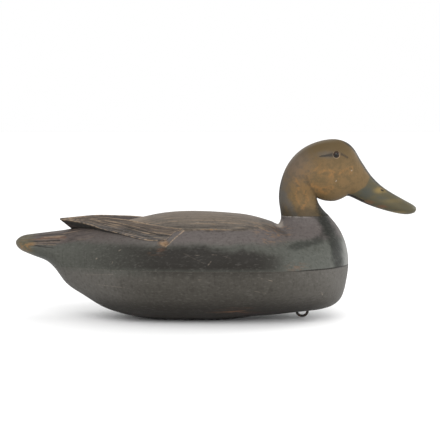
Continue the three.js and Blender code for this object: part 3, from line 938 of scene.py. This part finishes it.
def upper_paint(paints):
    finish = Finish("upper_body_paint", specular=BODY_GLOSS)
    x, y, z = finish.x, finish.y, finish.z
    bend, valley, rim = (finish.attribute(name) for name in ("bend", "valley", "rim"))
    wing, under, down = (finish.attribute(name) for name in ("wing", "under", "down"))
    broad = finish.noise(26)
    cloud = finish.noise(8, 4, shift=7)
    mottle = finish.noise(2.6, 5, (1.6, 1, 1), shift=2)
    grain = finish.noise(3, 4, (22, 1, 1))
    brush = finish.noise(2.2, 3, (1, 1, 12), shift=3)
    fine = finish.noise(1.1, 3, (4, 1, 1))
    along_feather = finish.node("ShaderNodeCombineXYZ", {}, {0: x * 0.05, 1: down * 19, 2: 0.0}, 0)
    barbs = finish.noise(1, 5, at=along_feather)
    ragged = (broad - 0.5) * 10 + (cloud - 0.5) * 9
    streaky = grain.step(0.45, 0.6)

    # Sides: green-grey at the tail, black towards the middle, and grey under the mantle.
    coat = Coat(finish, paints.flank)
    reach = x.step(-170, -45) * x.step(98, 36)
    below = (z + ragged + (x + 25).most(0) * 0.09).step(90, 80)
    dark = below * (0.5 + (z + ragged * 0.15).step(59, 64) * 0.5)
    coat.lay(dark * reach * 0.97, paints.band)
    coat.lay((z + ragged * 0.5).step(83, 91) * (0.5 + x.step(-75, -35) * 0.5), paints.shoulder)
    coat.lay(finish.blot((-85, 92), (46, 6), (cloud - 0.5) * 1.2, soft=0.8) * 0.5, paints.shoulder)
    coat.lay(finish.blot((-132, 93), (36, 6), (cloud - 0.5) * 1.2, soft=0.8) * 0.7, paints.tail)

    # Breast: a rubbed patch, a dark band curving down, and a pale front of painted sheen with pale wear.
    coat.lay((x + ragged * 0.6).step(58, 88) * z.step(92, 84) * 0.9, paints.patch)
    coat.lay(finish.line(BREAST_BAND, 10.5, (cloud - 0.5) * 12, soft=0.8) * 0.95, paints.breast)
    coat.lay(finish.line(BREAST_ARM, 6, (cloud - 0.5) * 9, soft=0.9) * 0.65, paints.breast)
    # Pale front of the breast: painted sheen with pale wear.
    coat.lay((x + (cloud - 0.5) * 3).step(133, 140) * z.step(100, 90) * 0.9, paints.breast_front_sheen_and_wear)
    coat.lay(finish.blot((84, 63), (9, 4), (fine - 0.5) * 1.5, soft=0.9) * streaky * 0.4, paints.rust)

    # Mantle: brown with long streaks of the grain, a painted highlight along its top and on the back between
    # the wings, and a dark broken lower line.
    mantle = (z + ragged * 0.3).step(98.6, 101.4) * x.step(66, 56) * x.step(-160, -150)
    coat.lay(mantle, paints.mantle)
    # Painted highlight: the mantle lighter towards its top.
    coat.lay(mantle * z.step(104, 114) * 0.12, paints.bare_wood_and_highlight)
    coat.lay(mantle * grain.step(0.5, 0.68) * 0.26, paints.bare_wood_and_highlight)
    coat.lay(mantle * grain.step(0.46, 0.3) * 0.5, paints.band)
    coat.lay(finish.line(MANTLE_LINE, 1.5, (fine - 0.5) * 2) * cloud.step(0.35, 0.6) * 0.55, paints.stripe)
    for centre, size, strength in SHOULDER_WEAR:
        worn = streaky * mottle.step(0.4, 0.6) * strength
        coat.lay(finish.blot(centre, size, (cloud - 0.5) * 1.8, soft=0.9) * worn, paints.rubbed)
    # Painted shade along the crease at the neck's root.
    coat.lay(finish.line(CREASE_LINE, 2.6, (fine - 0.5) * 4, soft=0.9) * 0.4, paints.stripe)
    ivory = finish.blot((68, 100.5), (4, 6), (fine - 0.5) * 1.2, soft=0.6) * abs(y).step(24, 14)
    coat.lay(ivory * 0.3, paints.bare_wood_and_highlight)
    coat.lay(ivory * 0.35, paints.pale_wear_and_sheen)
    # Painted highlight on the back's rear slope between the wings.
    coat.lay(x.within(-104, -80, 12) * z.step(99, 104) * abs(y).step(30, 20) * 0.22, paints.bare_wood_and_highlight)
    joint_line = z.step(110.2, 111.3) * x.within(66, 92, 10)
    coat.lay(joint_line * mottle.step(0.4, 0.6) * 0.35, paints.pale_wear_and_sheen)

    # Tail: brown on top with light and dark streaks, painted shade along its grooves, and a worn olive end.
    tail_top = (z - (x + 172).most(0) * 0.2 + ragged * 0.2).step(80, 85) * x.step(-112, -158)
    coat.lay(tail_top, paints.tail)
    coat.lay(tail_top * grain.step(0.5, 0.68) * 0.3, paints.bare_wood_and_highlight)
    coat.lay(tail_top * grain.step(0.46, 0.32) * 0.6, paints.stripe)
    for start, end, width, paint, strength in TAIL_STREAKS:
        worn = fine.step(0.3, 0.6) * strength
        coat.lay(finish.stroke(start, end, width, (fine - 0.5) * 2.4) * worn, getattr(paints, paint))
    # Painted shade along the tail's grooves.
    for start, end, width, strength in TAIL_GROOVES:
        coat.lay(finish.stroke(start, end, width, (fine - 0.5) * 1.2) * strength, paints.stripe)
    coat.lay((x + (cloud - 0.5) * 16).step(-190, -204) * 0.9, paints.tail_end)
    coat.lay(finish.blot((-203, 80), (8, 5), (cloud - 0.5) * 1.8, soft=0.9) * streaky * 0.7, paints.rubbed)

    # Wings: brown and grey feathers, streaked along their length, with painted shade in their grooves and on
    # the undercut below the edge.
    coat.lay(wing, paints.wing)
    coat.lay(wing * down.step(0.58, 0.85) * 0.75, paints.feather_grey)
    coat.lay(wing * barbs.step(0.5, 0.68) * 0.42, paints.bare_wood_and_highlight)
    coat.lay(wing * barbs.step(0.47, 0.34) * 0.7, paints.stripe)
    coat.lay(wing * x.step(-136, -160) * mottle.step(0.45, 0.6) * 0.5, paints.bare_wood_and_highlight)
    # Painted shade in the feather grooves.
    coat.lay(valley.step(0.45, 0.9) * (0.2 + barbs * 0.8), paints.stripe)
    # Painted shade along the wing's grooves and under its edge.
    for path, width in WING_LINES:
        coat.lay(wing * finish.line(path, width, (fine - 0.5) * 0.8) * 0.85, paints.stripe)
    for path, width, strength in WING_WEAR:
        worn = fine.step(0.25, 0.6) * strength
        coat.lay(wing * finish.line(path, width, (fine - 0.5) * 1.2) * worn, paints.bare_wood_and_highlight)
    # Painted shade on the undercut faces under the wings.
    coat.lay(under, paints.wing_undercut_shade)
    coat.lay(under * down.step(0.3, 0.1) * 0.8, paints.tail)
    worn_rim = rim.step(0.35, 0.9) * mottle.step(0.35, 0.65) * (0.5 - x.step(-62, -52) * 0.25)
    coat.lay(worn_rim * under.step(0.9, 0.1), paints.bare_wood_and_highlight)
    coat.lay(bend.step(0.08, 0.2) * under.step(0.9, 0.1) * fine * 0.2, paints.bare_wood_and_highlight)
    front_line = finish.line(WING_FRONT_LINE, 0.8, (fine - 0.5) * 0.7) * mottle.step(0.35, 0.6)
    coat.lay(front_line * 0.5, paints.bare_wood_and_highlight)
    worn_corner = finish.blot((-54, 87.5), (4.4, 2.6), (fine - 0.5) * 2.4, soft=0.6)
    coat.lay(worn_corner * 0.5, paints.rubbed)
    coat.lay(worn_corner * mottle.step(0.45, 0.6) * 0.2, paints.bare_wood_and_highlight)
    coat.lay(finish.blot((-61, 80), (8, 3.5), (cloud - 0.5) * 1.8, soft=0.9) * streaky * 0.4, paints.rust)
    # Painted shade in the hollows, where the surface bends inward.
    coat.lay(bend.step(-0.05, -0.14) * 0.8, paints.stripe)
    coat.lay(x.step(78, 100) * z.step(60.1, 59.6) * 0.9, paints.stripe)
    lay_wear(coat, UPPER_SCRATCHES, paints, mottle, brush, fine)
    return finish.set(Base_Color=coat.colour, **worn_surface(finish, broad, grain, brush, fine))


# How strongly the body's and the head's paint reflect, as the shader's specular level.
BODY_GLOSS = 0.185
HEAD_GLOSS = 0.165

# Lines and worn places of the upper half, in x and z.
BREAST_BAND = [(112, 113), (121, 98), (128, 80), (131, 58)]
BREAST_ARM = [(80, 82), (104, 86), (118, 95)]
MANTLE_LINE = [(-33, 101), (-12, 100), (9, 99.5), (30, 101), (44, 101.5)]
# Painted shade in the crease at the neck's root.
CREASE_LINE = [(50, 102.5), (62, 99.5), (71, 96.2), (75, 93)]
# Painted shade along the wing's grooves and under its edge: path and half width.
WING_LINES = [
    ([(-92, 101.5), (-75, 99), (-58.4, 95.6), (-42, 94.2)], 0.7), ([(-71, 91.3), (-58.4, 89.7)], 0.6),
    ([(-110, 100.5), (-88, 97), (-70, 94)], 0.5),
]
WING_FRONT_LINE = [(-33, 100), (-43, 92.5), (-51.8, 84.5)]
# Path, half width and strength: the light line of the ridge, and worn feathers below it.
WING_WEAR = [
    ([(-126, 111.7), (-92, 108.7), (-74, 105.9), (-55.5, 104.3), (-33, 102.1)], 1.0, 0.65),
    ([(-118, 107.5), (-96, 104.5), (-80, 101.8)], 0.7, 0.35), ([(-66, 98.6), (-46, 96)], 0.7, 0.35),
]
# Centre, reach and strength.
SHOULDER_WEAR = [((60, 96), (15, 7), 0.5), ((-2, 101.3), (9, 3), 0.55), ((44, 104), (8, 2), 0.3)]
# Start, end, half width, paint and strength.
TAIL_STREAKS = [((-186, 89), (-160, 90), 1.6, "rust", 0.7), ((-183, 89.6), (-166, 90.2), 0.7, "bare_wood_and_highlight", 0.45),
                ((-202, 87.2), (-186, 88), 0.9, "rust", 0.6), ((-196, 83.4), (-170, 82.6), 0.9, "bare_wood_and_highlight", 0.3)]
# Painted shade along the tail's grooves: start, end, half width and strength.
TAIL_GROOVES = [((-203, 84.9), (-166, 86.8), 0.9, 0.85), ((-198, 82.3), (-172, 79.4), 0.9, 0.8),
                ((-190, 91), (-158, 92.6), 0.7, 0.5)]

# Scratches and specks: start and end in x and z, half width, strength.
UPPER_SCRATCHES = [
    ((-125.5, 69.5), (-124.5, 70.5), 0.8, 0.5), ((-108, 66), (-107.3, 68), 0.5, 0.35),
    ((-101, 79), (-99, 80.5), 0.8, 0.25), ((-8, 66.5), (-5, 70), 0.7, 0.25),
    ((-33, 78), (-12, 68), 0.4, 0.1), ((-22, 76), (-17, 76.3), 0.5, 0.2), ((-4, 77), (1, 76.6), 0.5, 0.2),
    ((8, 75.5), (15, 73), 0.4, 0.12), ((24, 104), (31, 104.4), 0.5, 0.3),
    ((-22, 107), (-17, 107.6), 0.6, 0.3),
]
LOWER_SCRATCHES = [
    ((-127, 42.5), (-95, 41), 0.35, 0.3), ((-138, 52), (-107, 54.5), 0.35, 0.22),
    ((-18, 51), (-15, 51.2), 0.6, 0.4), ((54, 51), (58, 49.8), 0.6, 0.4), ((46, 52.5), (50, 52), 0.5, 0.25),
    ((40, 39), (52, 36.5), 0.4, 0.18), ((110.5, 35), (111.5, 32.5), 1.2, 0.25),
]
HEAD_SCRATCHES = [((144.3, 160.3), (145, 160.8), 0.7, 0.4), ((127.5, 149.2), (128.3, 150.2), 0.7, 0.35)]


def lay_wear(coat, scratches, paints, mottle, brush, fine):
    """Wear over all the paint: scratches, small pale and dark mottling and a few specks."""
    for start, end, width, strength in scratches:
        worn = fine.step(0.35, 0.6) * (strength * 0.6)
        coat.lay(coat.finish.stroke(start, end, width, (fine - 0.5) * 0.8) * worn, paints.bare_wood_and_highlight)
        coat.lay(coat.finish.stroke(start, end, width) * worn * 0.6, paints.pale_wear_and_sheen)
    coat.lay((mottle * 0.5 + fine * 0.5).step(0.5, 0.72) * 0.07, paints.pale_wear_and_sheen)
    coat.lay((mottle * 0.5 + brush * 0.5).step(0.52, 0.34) * 0.3, paints.keel)
    coat.lay(coat.finish.noise(2.2, 2, shift=20).step(0.76, 0.82) * 0.2, paints.bare_wood_and_highlight)


def lower_paint(paints):
    finish = Finish("lower_body_paint", specular=BODY_GLOSS)
    x, z = finish.x, finish.z
    broad = finish.noise(30)
    cloud = finish.noise(9, 4, shift=5)
    mottle = finish.noise(2.6, 5, (1.6, 1, 1), shift=2)
    grain = finish.noise(3, 4, (22, 1, 1))
    brush = finish.noise(2.2, 3, (1, 1, 12), shift=9)
    fine = finish.noise(1.1, 3, (4, 1, 1))
    ragged = (broad - 0.5) * 26 + (cloud - 0.5) * 14
    streaky = grain.step(0.45, 0.6)
    coat = Coat(finish, finish.mix(broad.step(0.3, 0.7) * 0.25, paints.hull, paints.keel))
    # Paler towards both ends: painted light where the hull turns to the side.
    coat.lay((x + ragged).step(-52, -150).most((x + ragged).step(45, 125) * 0.7), paints.hull_ends_painted_light)
    # Darker towards the keel: painted shade.
    coat.lay((z + ragged * 0.25).step(34, 14) * x.step(135, 100) * 0.95, paints.keel)
    coat.lay(finish.blot((23, 15), (19, 3.5), (cloud - 0.5) * 1.2, soft=0.8) * streaky * 0.7, paints.rust)
    top = (z + (cloud - 0.5) * 10).step(50, 60)
    coat.lay(top * x.step(-40, -90) * 0.7, paints.flank)
    coat.lay(top * x.within(-60, 40, 40) * 0.55, paints.band)
    coat.lay(x.step(70, 95) * z.step(58.2, 58.8) * 0.9, paints.stripe)
    lay_wear(coat, LOWER_SCRATCHES, paints, mottle, brush, fine)
    return finish.set(Base_Color=coat.colour, **worn_surface(finish, broad, grain, brush, fine))


def head_paint(paints):
    finish = Finish("head_paint", specular=HEAD_GLOSS)
    x, y, z = finish.x, finish.y, finish.z
    bend, bill = finish.attribute("bend"), finish.attribute("bill")
    broad = finish.noise(16)
    cloud = finish.noise(6, 4, shift=5)
    mottle = finish.noise(2.4, 5, shift=2)
    grain = finish.noise(2.4, 4, (1, 1, 6))
    brush = finish.noise(1.8, 3, (5, 1, 1), shift=9)
    fine = finish.noise(0.9, 3)
    ragged = (cloud - 0.5) * 1.2 + (mottle - 0.5) * 0.8

    dabs = cloud * 0.65 + mottle * 0.35
    coat = Coat(finish, paints.head)
    coat.lay((z + (broad - 0.5) * 24).step(160, 184) * 0.8, paints.crown)
    coat.lay(finish.blot((82, 170), (16, 20), ragged, soft=0.9) * 0.6, paints.shoulder)
    coat.lay(finish.blot((150, 168), (13, 22), ragged, soft=0.9) * 0.45, paints.head)
    coat.lay(dabs.step(0.56, 0.38) * 0.3, paints.crown)
    dabbed = dabs.step(0.36, 0.66)
    coat.lay(finish.blot((120, 155), (32, 18), ragged, soft=0.9) * dabbed * 0.35, paints.rubbed)
    coat.lay(finish.blot((92, 138), (11, 22), ragged, soft=0.9) * dabbed * 0.3, paints.rubbed)
    for path, width, strength in RUBBED_STROKES:
        worn = (cloud * 0.5 + mottle * 0.5).step(0.36, 0.64) * strength
        coat.lay(finish.line(path, width, ragged * 2.5, soft=0.9) * worn, paints.rubbed)
    # Painted shade along the fold between the cheek and the neck.
    coat.lay(finish.line(NECK_FOLD, 2.2, ragged * 1.5, soft=0.9) * 0.25, paints.stripe)
    coat.lay(finish.blot((66, 132), (10, 30), ragged * 0.6, soft=0.7) * 0.8, paints.nape)
    coat.lay(finish.stroke((72, 134), (84, 112), 6, ragged * 3, soft=0.9) * 0.7, paints.nape)
    # Painted sheen along the top of the crown.
    coat.lay(abs(y).step(10, 3) * z.step(150, 176) * x.step(136, 118) * 0.16, paints.pale_wear_and_sheen)
    coat.lay((z + ragged * 5).step(126, 114) * 0.55, paints.breast)
    coat.lay(finish.stroke((112, 124), (118, 108), 8, ragged * 4, soft=0.8) * 0.9, paints.breast)

    bill_coat = Coat(finish, finish.mix(brush.step(0.4, 0.66) * 0.35, paints.bill, paints.bill_grey))
    for centre, reach, paint, strength in BILL_MARKS:
        mark = finish.blot(centre, reach, ragged * 0.9, soft=0.7)
        bill_coat.lay(mark * strength, getattr(paints, paint))
    coat.lay(bill, bill_coat.colour)

    ridge = abs(y).step(8.5, 5.5) * (x + (fine - 0.5) * 4).step(134, 142)
    coat.lay(ridge * x.step(212, 170) * z.step(118, 124) * 0.85, paints.stripe)
    coat.lay(abs(y).step(7, 3) * x.step(77, 70) * z.step(172, 150) * 0.8, paints.stripe)
    coat.lay(abs(y).step(8, 4) * z.step(132.5, 130) * x.within(106, 150, 3) * 0.85, paints.stripe)
    off_x, off_z = x - EYE_CENTRE[0], z - EYE_CENTRE[2]
    eye = (off_x * off_x + off_z * off_z) ** 0.5
    coat.lay(finish.blot((119, 177.5), (10, 3.4), ragged * 0.6, soft=0.8) * 0.5, paints.nape)
    stripe = finish.stroke((110.5, 175.6), (124.6, 177.4), 1.0, (fine - 0.5) * 1.6, end_width=3.4, soft=0.8)
    stripe = stripe.most(finish.stroke((133.6, 178), (140, 174.6), 1.9, (fine - 0.5) * 2.4, soft=0.9) * 0.8)
    coat.lay(stripe * 0.8, paints.stripe)
    coat.lay(eye.within(2.2, 3.1, 0.3), paints.stripe)
    ring = eye.within(3.6, 3.8, 0.25) * (0.1 + fine * 0.5 + x.step(124, 131) * 0.25)
    coat.lay(ring, paints.bare_wood_and_highlight)
    # Painted shade in the hollows, where the surface bends inward.
    coat.lay(bend.step(-0.05, -0.12) * 0.9, paints.stripe)
    # Painted shade in the carved mouth line and the nostrils.
    coat.lay(finish.line(MOUTH_LINE, 0.9) * 0.9, paints.stripe)
    coat.lay(finish.stroke(*NOSTRIL, 0.9) * 0.95, paints.stripe)
    for start, end, width, strength in HEAD_SCRATCHES:
        coat.lay(finish.stroke(start, end, width) * strength, paints.pale_wear_and_sheen)
    coat.lay(fine.step(0.68, 0.8) * 0.2, paints.bare_wood_and_highlight)
    return finish.set(Base_Color=coat.colour, **worn_surface(finish, broad, grain, brush, fine))


# Brush strokes where the head is rubbed to orange: a path in x and z, half width, strength.
RUBBED_STROKES = [
    ([(109, 158), (117.6, 162), (125, 159), (120.6, 154.4)], 2.6, 0.75),
    ([(125, 154.4), (135.5, 160.4), (146, 164.2), (143, 157.4)], 2.6, 0.7),
    ([(101, 145.5), (111.5, 141), (123.5, 142.5), (117.6, 136.5), (107, 139.5)], 3.6, 0.8),
    ([(84.7, 151.4), (89.2, 144), (84.7, 133.5), (89.2, 126)], 2.6, 0.6),
    ([(95, 138), (98, 129), (92.2, 120)], 3.2, 0.7), ([(112, 168), (104, 160)], 2.2, 0.35),
]
# The soft fold between the cheek and the neck, darkened as painted shade.
NECK_FOLD = [(96, 155), (99, 146), (104.5, 137.7), (109, 131)]

# Marks of the bill: centre and reach in x and z, paint, strength.
BILL_MARKS = [
    ((160, 137), (7, 6), "bill_grey", 0.9), ((177, 130), (6, 3), "bill_grey", 0.5),
    ((177.5, 139.5), (7, 3), "ochre", 0.7), ((163, 126), (6, 2), "rust", 0.7),
    ((178, 121.5), (5, 1.6), "rust", 0.7), ((196, 115.5), (9, 1.3), "ochre", 0.4),
    ((190, 128), (12, 2.2), "ochre", 0.18), ((152, 129.5), (5, 1.2), "ochre", 0.45),
]


def eye_glass(paints):
    finish = Finish("eye_glass", 0.07, specular=0.25)
    off_x = finish.x - EYE_CENTRE[0]
    off_z = finish.z - EYE_CENTRE[2]
    distance = (off_x * off_x + off_z * off_z) ** 0.5
    return finish.set(Base_Color=finish.mix(distance.step(1.7, 2.1), paints.pupil, paints.iris))


def staple_iron(paints):
    finish = Finish("staple_iron", 0.55)
    rust = finish.noise(2.5, 4)
    colour_now = finish.mix(rust.step(0.45, 0.7) * 0.5, paints.iron, paints.rust)
    height = finish.bump(finish.noise(0.8, 3), 0.12)
    return finish.set(Base_Color=colour_now, Metallic=0.5, Roughness=0.4 + rust * 0.3, Normal=height)


def bill_share(points):
    """1 on the bill and 0 on the face: which side of the bill's edge line a point lies."""
    edge = np.array(sorted(BILL_EDGE, key=lambda place: place[1]), float)
    line_x = np.interp(points[:, 2], edge[:, 1], edge[:, 0])
    return np.clip((points[:, 0] - line_x) / BILL_EDGE_FADE + 0.5, 0, 1)


class DECOY_OT_body_upper(bpy.types.Operator):
    """Upper half of the body with its wings, tail flutes and worn paint"""

    bl_idname = "decoy.body_upper"
    bl_label = "Upper body"

    def execute(self, context):
        sizes = context.scene.decoy_sizes
        body = body_half(True, sizes)
        body.name = "body_upper_carved"
        wings = [wing(side, sizes.feather_depth / MM) for side in SIDES]
        join_or_cut(body, wings, "UNION")
        for name, values in wing_marks(vertices_of(body.data)).items():
            set_attribute(body.data, name, values)
        finish_piece(body, upper_paint(context.scene.decoy_paints), "upper_body_paint", "body_upper")
        return {"FINISHED"}


class DECOY_OT_body_lower(bpy.types.Operator):
    """Lower half of the body with the holes for the staple"""

    bl_idname = "decoy.body_lower"
    bl_label = "Lower body"

    def execute(self, context):
        body = body_half(False, context.scene.decoy_sizes)
        body.name = "body_lower_carved"
        join_or_cut(body, [staple_form("holes", STAPLE_WIRE_RADIUS + 0.2)], "DIFFERENCE")
        finish_piece(body, lower_paint(context.scene.decoy_paints), "lower_body_paint", "body_lower")
        return {"FINISHED"}


class DECOY_OT_head(bpy.types.Operator):
    """Neck, head and bill with the sockets of the eyes"""

    bl_idname = "decoy.head"
    bl_label = "Head"

    def execute(self, context):
        head = head_form(context.scene.decoy_sizes)
        head.name = "head_carved"
        sockets = [ball("socket", EYE_RADIUS + 0.12, np.array(EYE_CENTRE) * (1, side, 1)) for side in SIDES]
        join_or_cut(head, sockets, "DIFFERENCE")
        set_attribute(head.data, "bill", bill_share(vertices_of(head.data)))
        finish_piece(head, head_paint(context.scene.decoy_paints), "head_paint", "head")
        return {"FINISHED"}


class DECOY_OT_eyes(bpy.types.Operator):
    """Both glass eyes"""

    bl_idname = "decoy.eyes"
    bl_label = "Eyes"

    def execute(self, context):
        glass = eye_glass(context.scene.decoy_paints)
        for side, node in zip(SIDES, ("eye_left", "eye_right")):
            eye = ball(node + "_glass", EYE_RADIUS, np.array(EYE_CENTRE) * (1, side, 1))
            finish_piece(eye, glass, "eye_glass", node)
        return {"FINISHED"}


class DECOY_OT_staple(bpy.types.Operator):
    """Bent wire staple for the anchor line"""

    bl_idname = "decoy.staple"
    bl_label = "Line staple"

    def execute(self, context):
        staple = staple_form("line_staple_wire", STAPLE_WIRE_RADIUS)
        finish_piece(staple, staple_iron(context.scene.decoy_paints), "staple_iron", "line_staple")
        return {"FINISHED"}


# The photograph's view: its target, its distance, its height angle and how many millimetres
# one of its 440 pixels spans at the target.
VIEW_TARGET = (4.3, 0, 106.2)
VIEW_DISTANCE = 1500
VIEW_ELEVATION = math.radians(5)
VIEW_PIXEL = 1.081
PHOTO_WIDTH = 440
SENSOR_WIDTH = 36
FLOOR_REACH = 8

# Soft lights: name, watts, side length and place in metres; each points at the lit point.
LIT_POINT = (0, 0, 0.08)
SOFTBOXES = [
    ("window", 5, 0.35, (1.3, -0.72, 0.45)),
    ("breast_side", 7, 0.6, (1.1, 0.55, 0.45)),
]
# A broad even light from above, on the camera's side: strength, width of its source, where it is.
SKY_STRENGTH = 2.0
SKY_ANGLE = math.radians(50)
SKY_PLACE = (-0.12, -1.4, 1.0)
FLOOR_WHITE = (0.88, 0.88, 0.88)


class DECOY_OT_stage(bpy.types.Operator):
    """Pale floor, soft studio light and the camera"""

    bl_idname = "decoy.stage"
    bl_label = "Stage"

    def execute(self, context):
        scene = context.scene
        corners = [(x * FLOOR_REACH, y * FLOOR_REACH, 0) for x, y in ((-1, -1), (1, -1), (1, 1), (-1, 1))]
        mesh = bpy.data.meshes.new("floor")
        mesh.from_pydata(corners, [], [(0, 1, 2, 3)])
        floor = bpy.data.objects.new("floor", mesh)
        scene.collection.objects.link(floor)
        mesh.materials.append(Finish("floor_white", 0.7).set(Base_Color=(*FLOOR_WHITE, 1)))

        world = bpy.data.worlds.new("studio")
        world.use_nodes = True
        backdrop = world.node_tree.nodes["Background"]
        backdrop.inputs["Color"].default_value = (1, 1, 1, 1)
        backdrop.inputs["Strength"].default_value = 1.0
        scene.world = world
        scene.view_settings.view_transform = "Standard"

        sky = bpy.data.lights.new("sky", "SUN")
        sky.energy = SKY_STRENGTH
        sky.angle = SKY_ANGLE
        lights = [(sky, SKY_PLACE)]
        for name, energy, size, place in SOFTBOXES:
            light = bpy.data.lights.new(name, "AREA")
            light.shape = "SQUARE"
            light.size = size
            light.energy = energy
            lights.append((light, place))
        for light, place in lights:
            lamp = bpy.data.objects.new(light.name, light)
            lamp.location = place
            lamp.rotation_euler = (Vector(LIT_POINT) - lamp.location).to_track_quat("-Z", "Y").to_euler()
            scene.collection.objects.link(lamp)

        camera = bpy.data.cameras.new("camera")
        camera.sensor_width = SENSOR_WIDTH
        camera.lens = SENSOR_WIDTH * VIEW_DISTANCE / (PHOTO_WIDTH * VIEW_PIXEL)
        camera.clip_end = 100
        eye = bpy.data.objects.new("camera", camera)
        target = Vector(VIEW_TARGET) * MM
        away = Vector((0, -math.cos(VIEW_ELEVATION), math.sin(VIEW_ELEVATION)))
        eye.location = target + away * VIEW_DISTANCE * MM
        eye.rotation_euler = (-away).to_track_quat("-Z", "Y").to_euler()
        scene.collection.objects.link(eye)
        scene.camera = eye
        return {"FINISHED"}


class DECOY_PT_panel(bpy.types.Panel):
    """Lists the decoy's pieces, sizes and paints"""

    bl_idname = "DECOY_PT_panel"
    bl_label = "Duck decoy"
    bl_space_type = "VIEW_3D"
    bl_region_type = "UI"
    bl_category = "Decoy"

    def draw(self, context):
        for operator in OPERATORS:
            self.layout.operator(operator.bl_idname)
        for group in (context.scene.decoy_sizes, context.scene.decoy_paints):
            for name in group.__annotations__:
                self.layout.prop(group, name)


GROUPS = (DecoySizes, DecoyPaints)
OPERATORS = (DECOY_OT_body_upper, DECOY_OT_body_lower, DECOY_OT_head, DECOY_OT_eyes,
             DECOY_OT_staple, DECOY_OT_stage)


def register():
    for cls in (*GROUPS, *OPERATORS, DECOY_PT_panel):
        bpy.utils.register_class(cls)
    bpy.types.Scene.decoy_sizes = bpy.props.PointerProperty(type=DecoySizes)
    bpy.types.Scene.decoy_paints = bpy.props.PointerProperty(type=DecoyPaints)


def unregister():
    del bpy.types.Scene.decoy_paints
    del bpy.types.Scene.decoy_sizes
    for cls in reversed((*GROUPS, *OPERATORS, DECOY_PT_panel)):
        bpy.utils.unregister_class(cls)


def main():
    register()
    bpy.ops.decoy.body_upper()
    bpy.ops.decoy.body_lower()
    bpy.ops.decoy.head()
    bpy.ops.decoy.eyes()
    bpy.ops.decoy.staple()
    bpy.ops.decoy.stage()


if __name__ == "__main__":
    main()
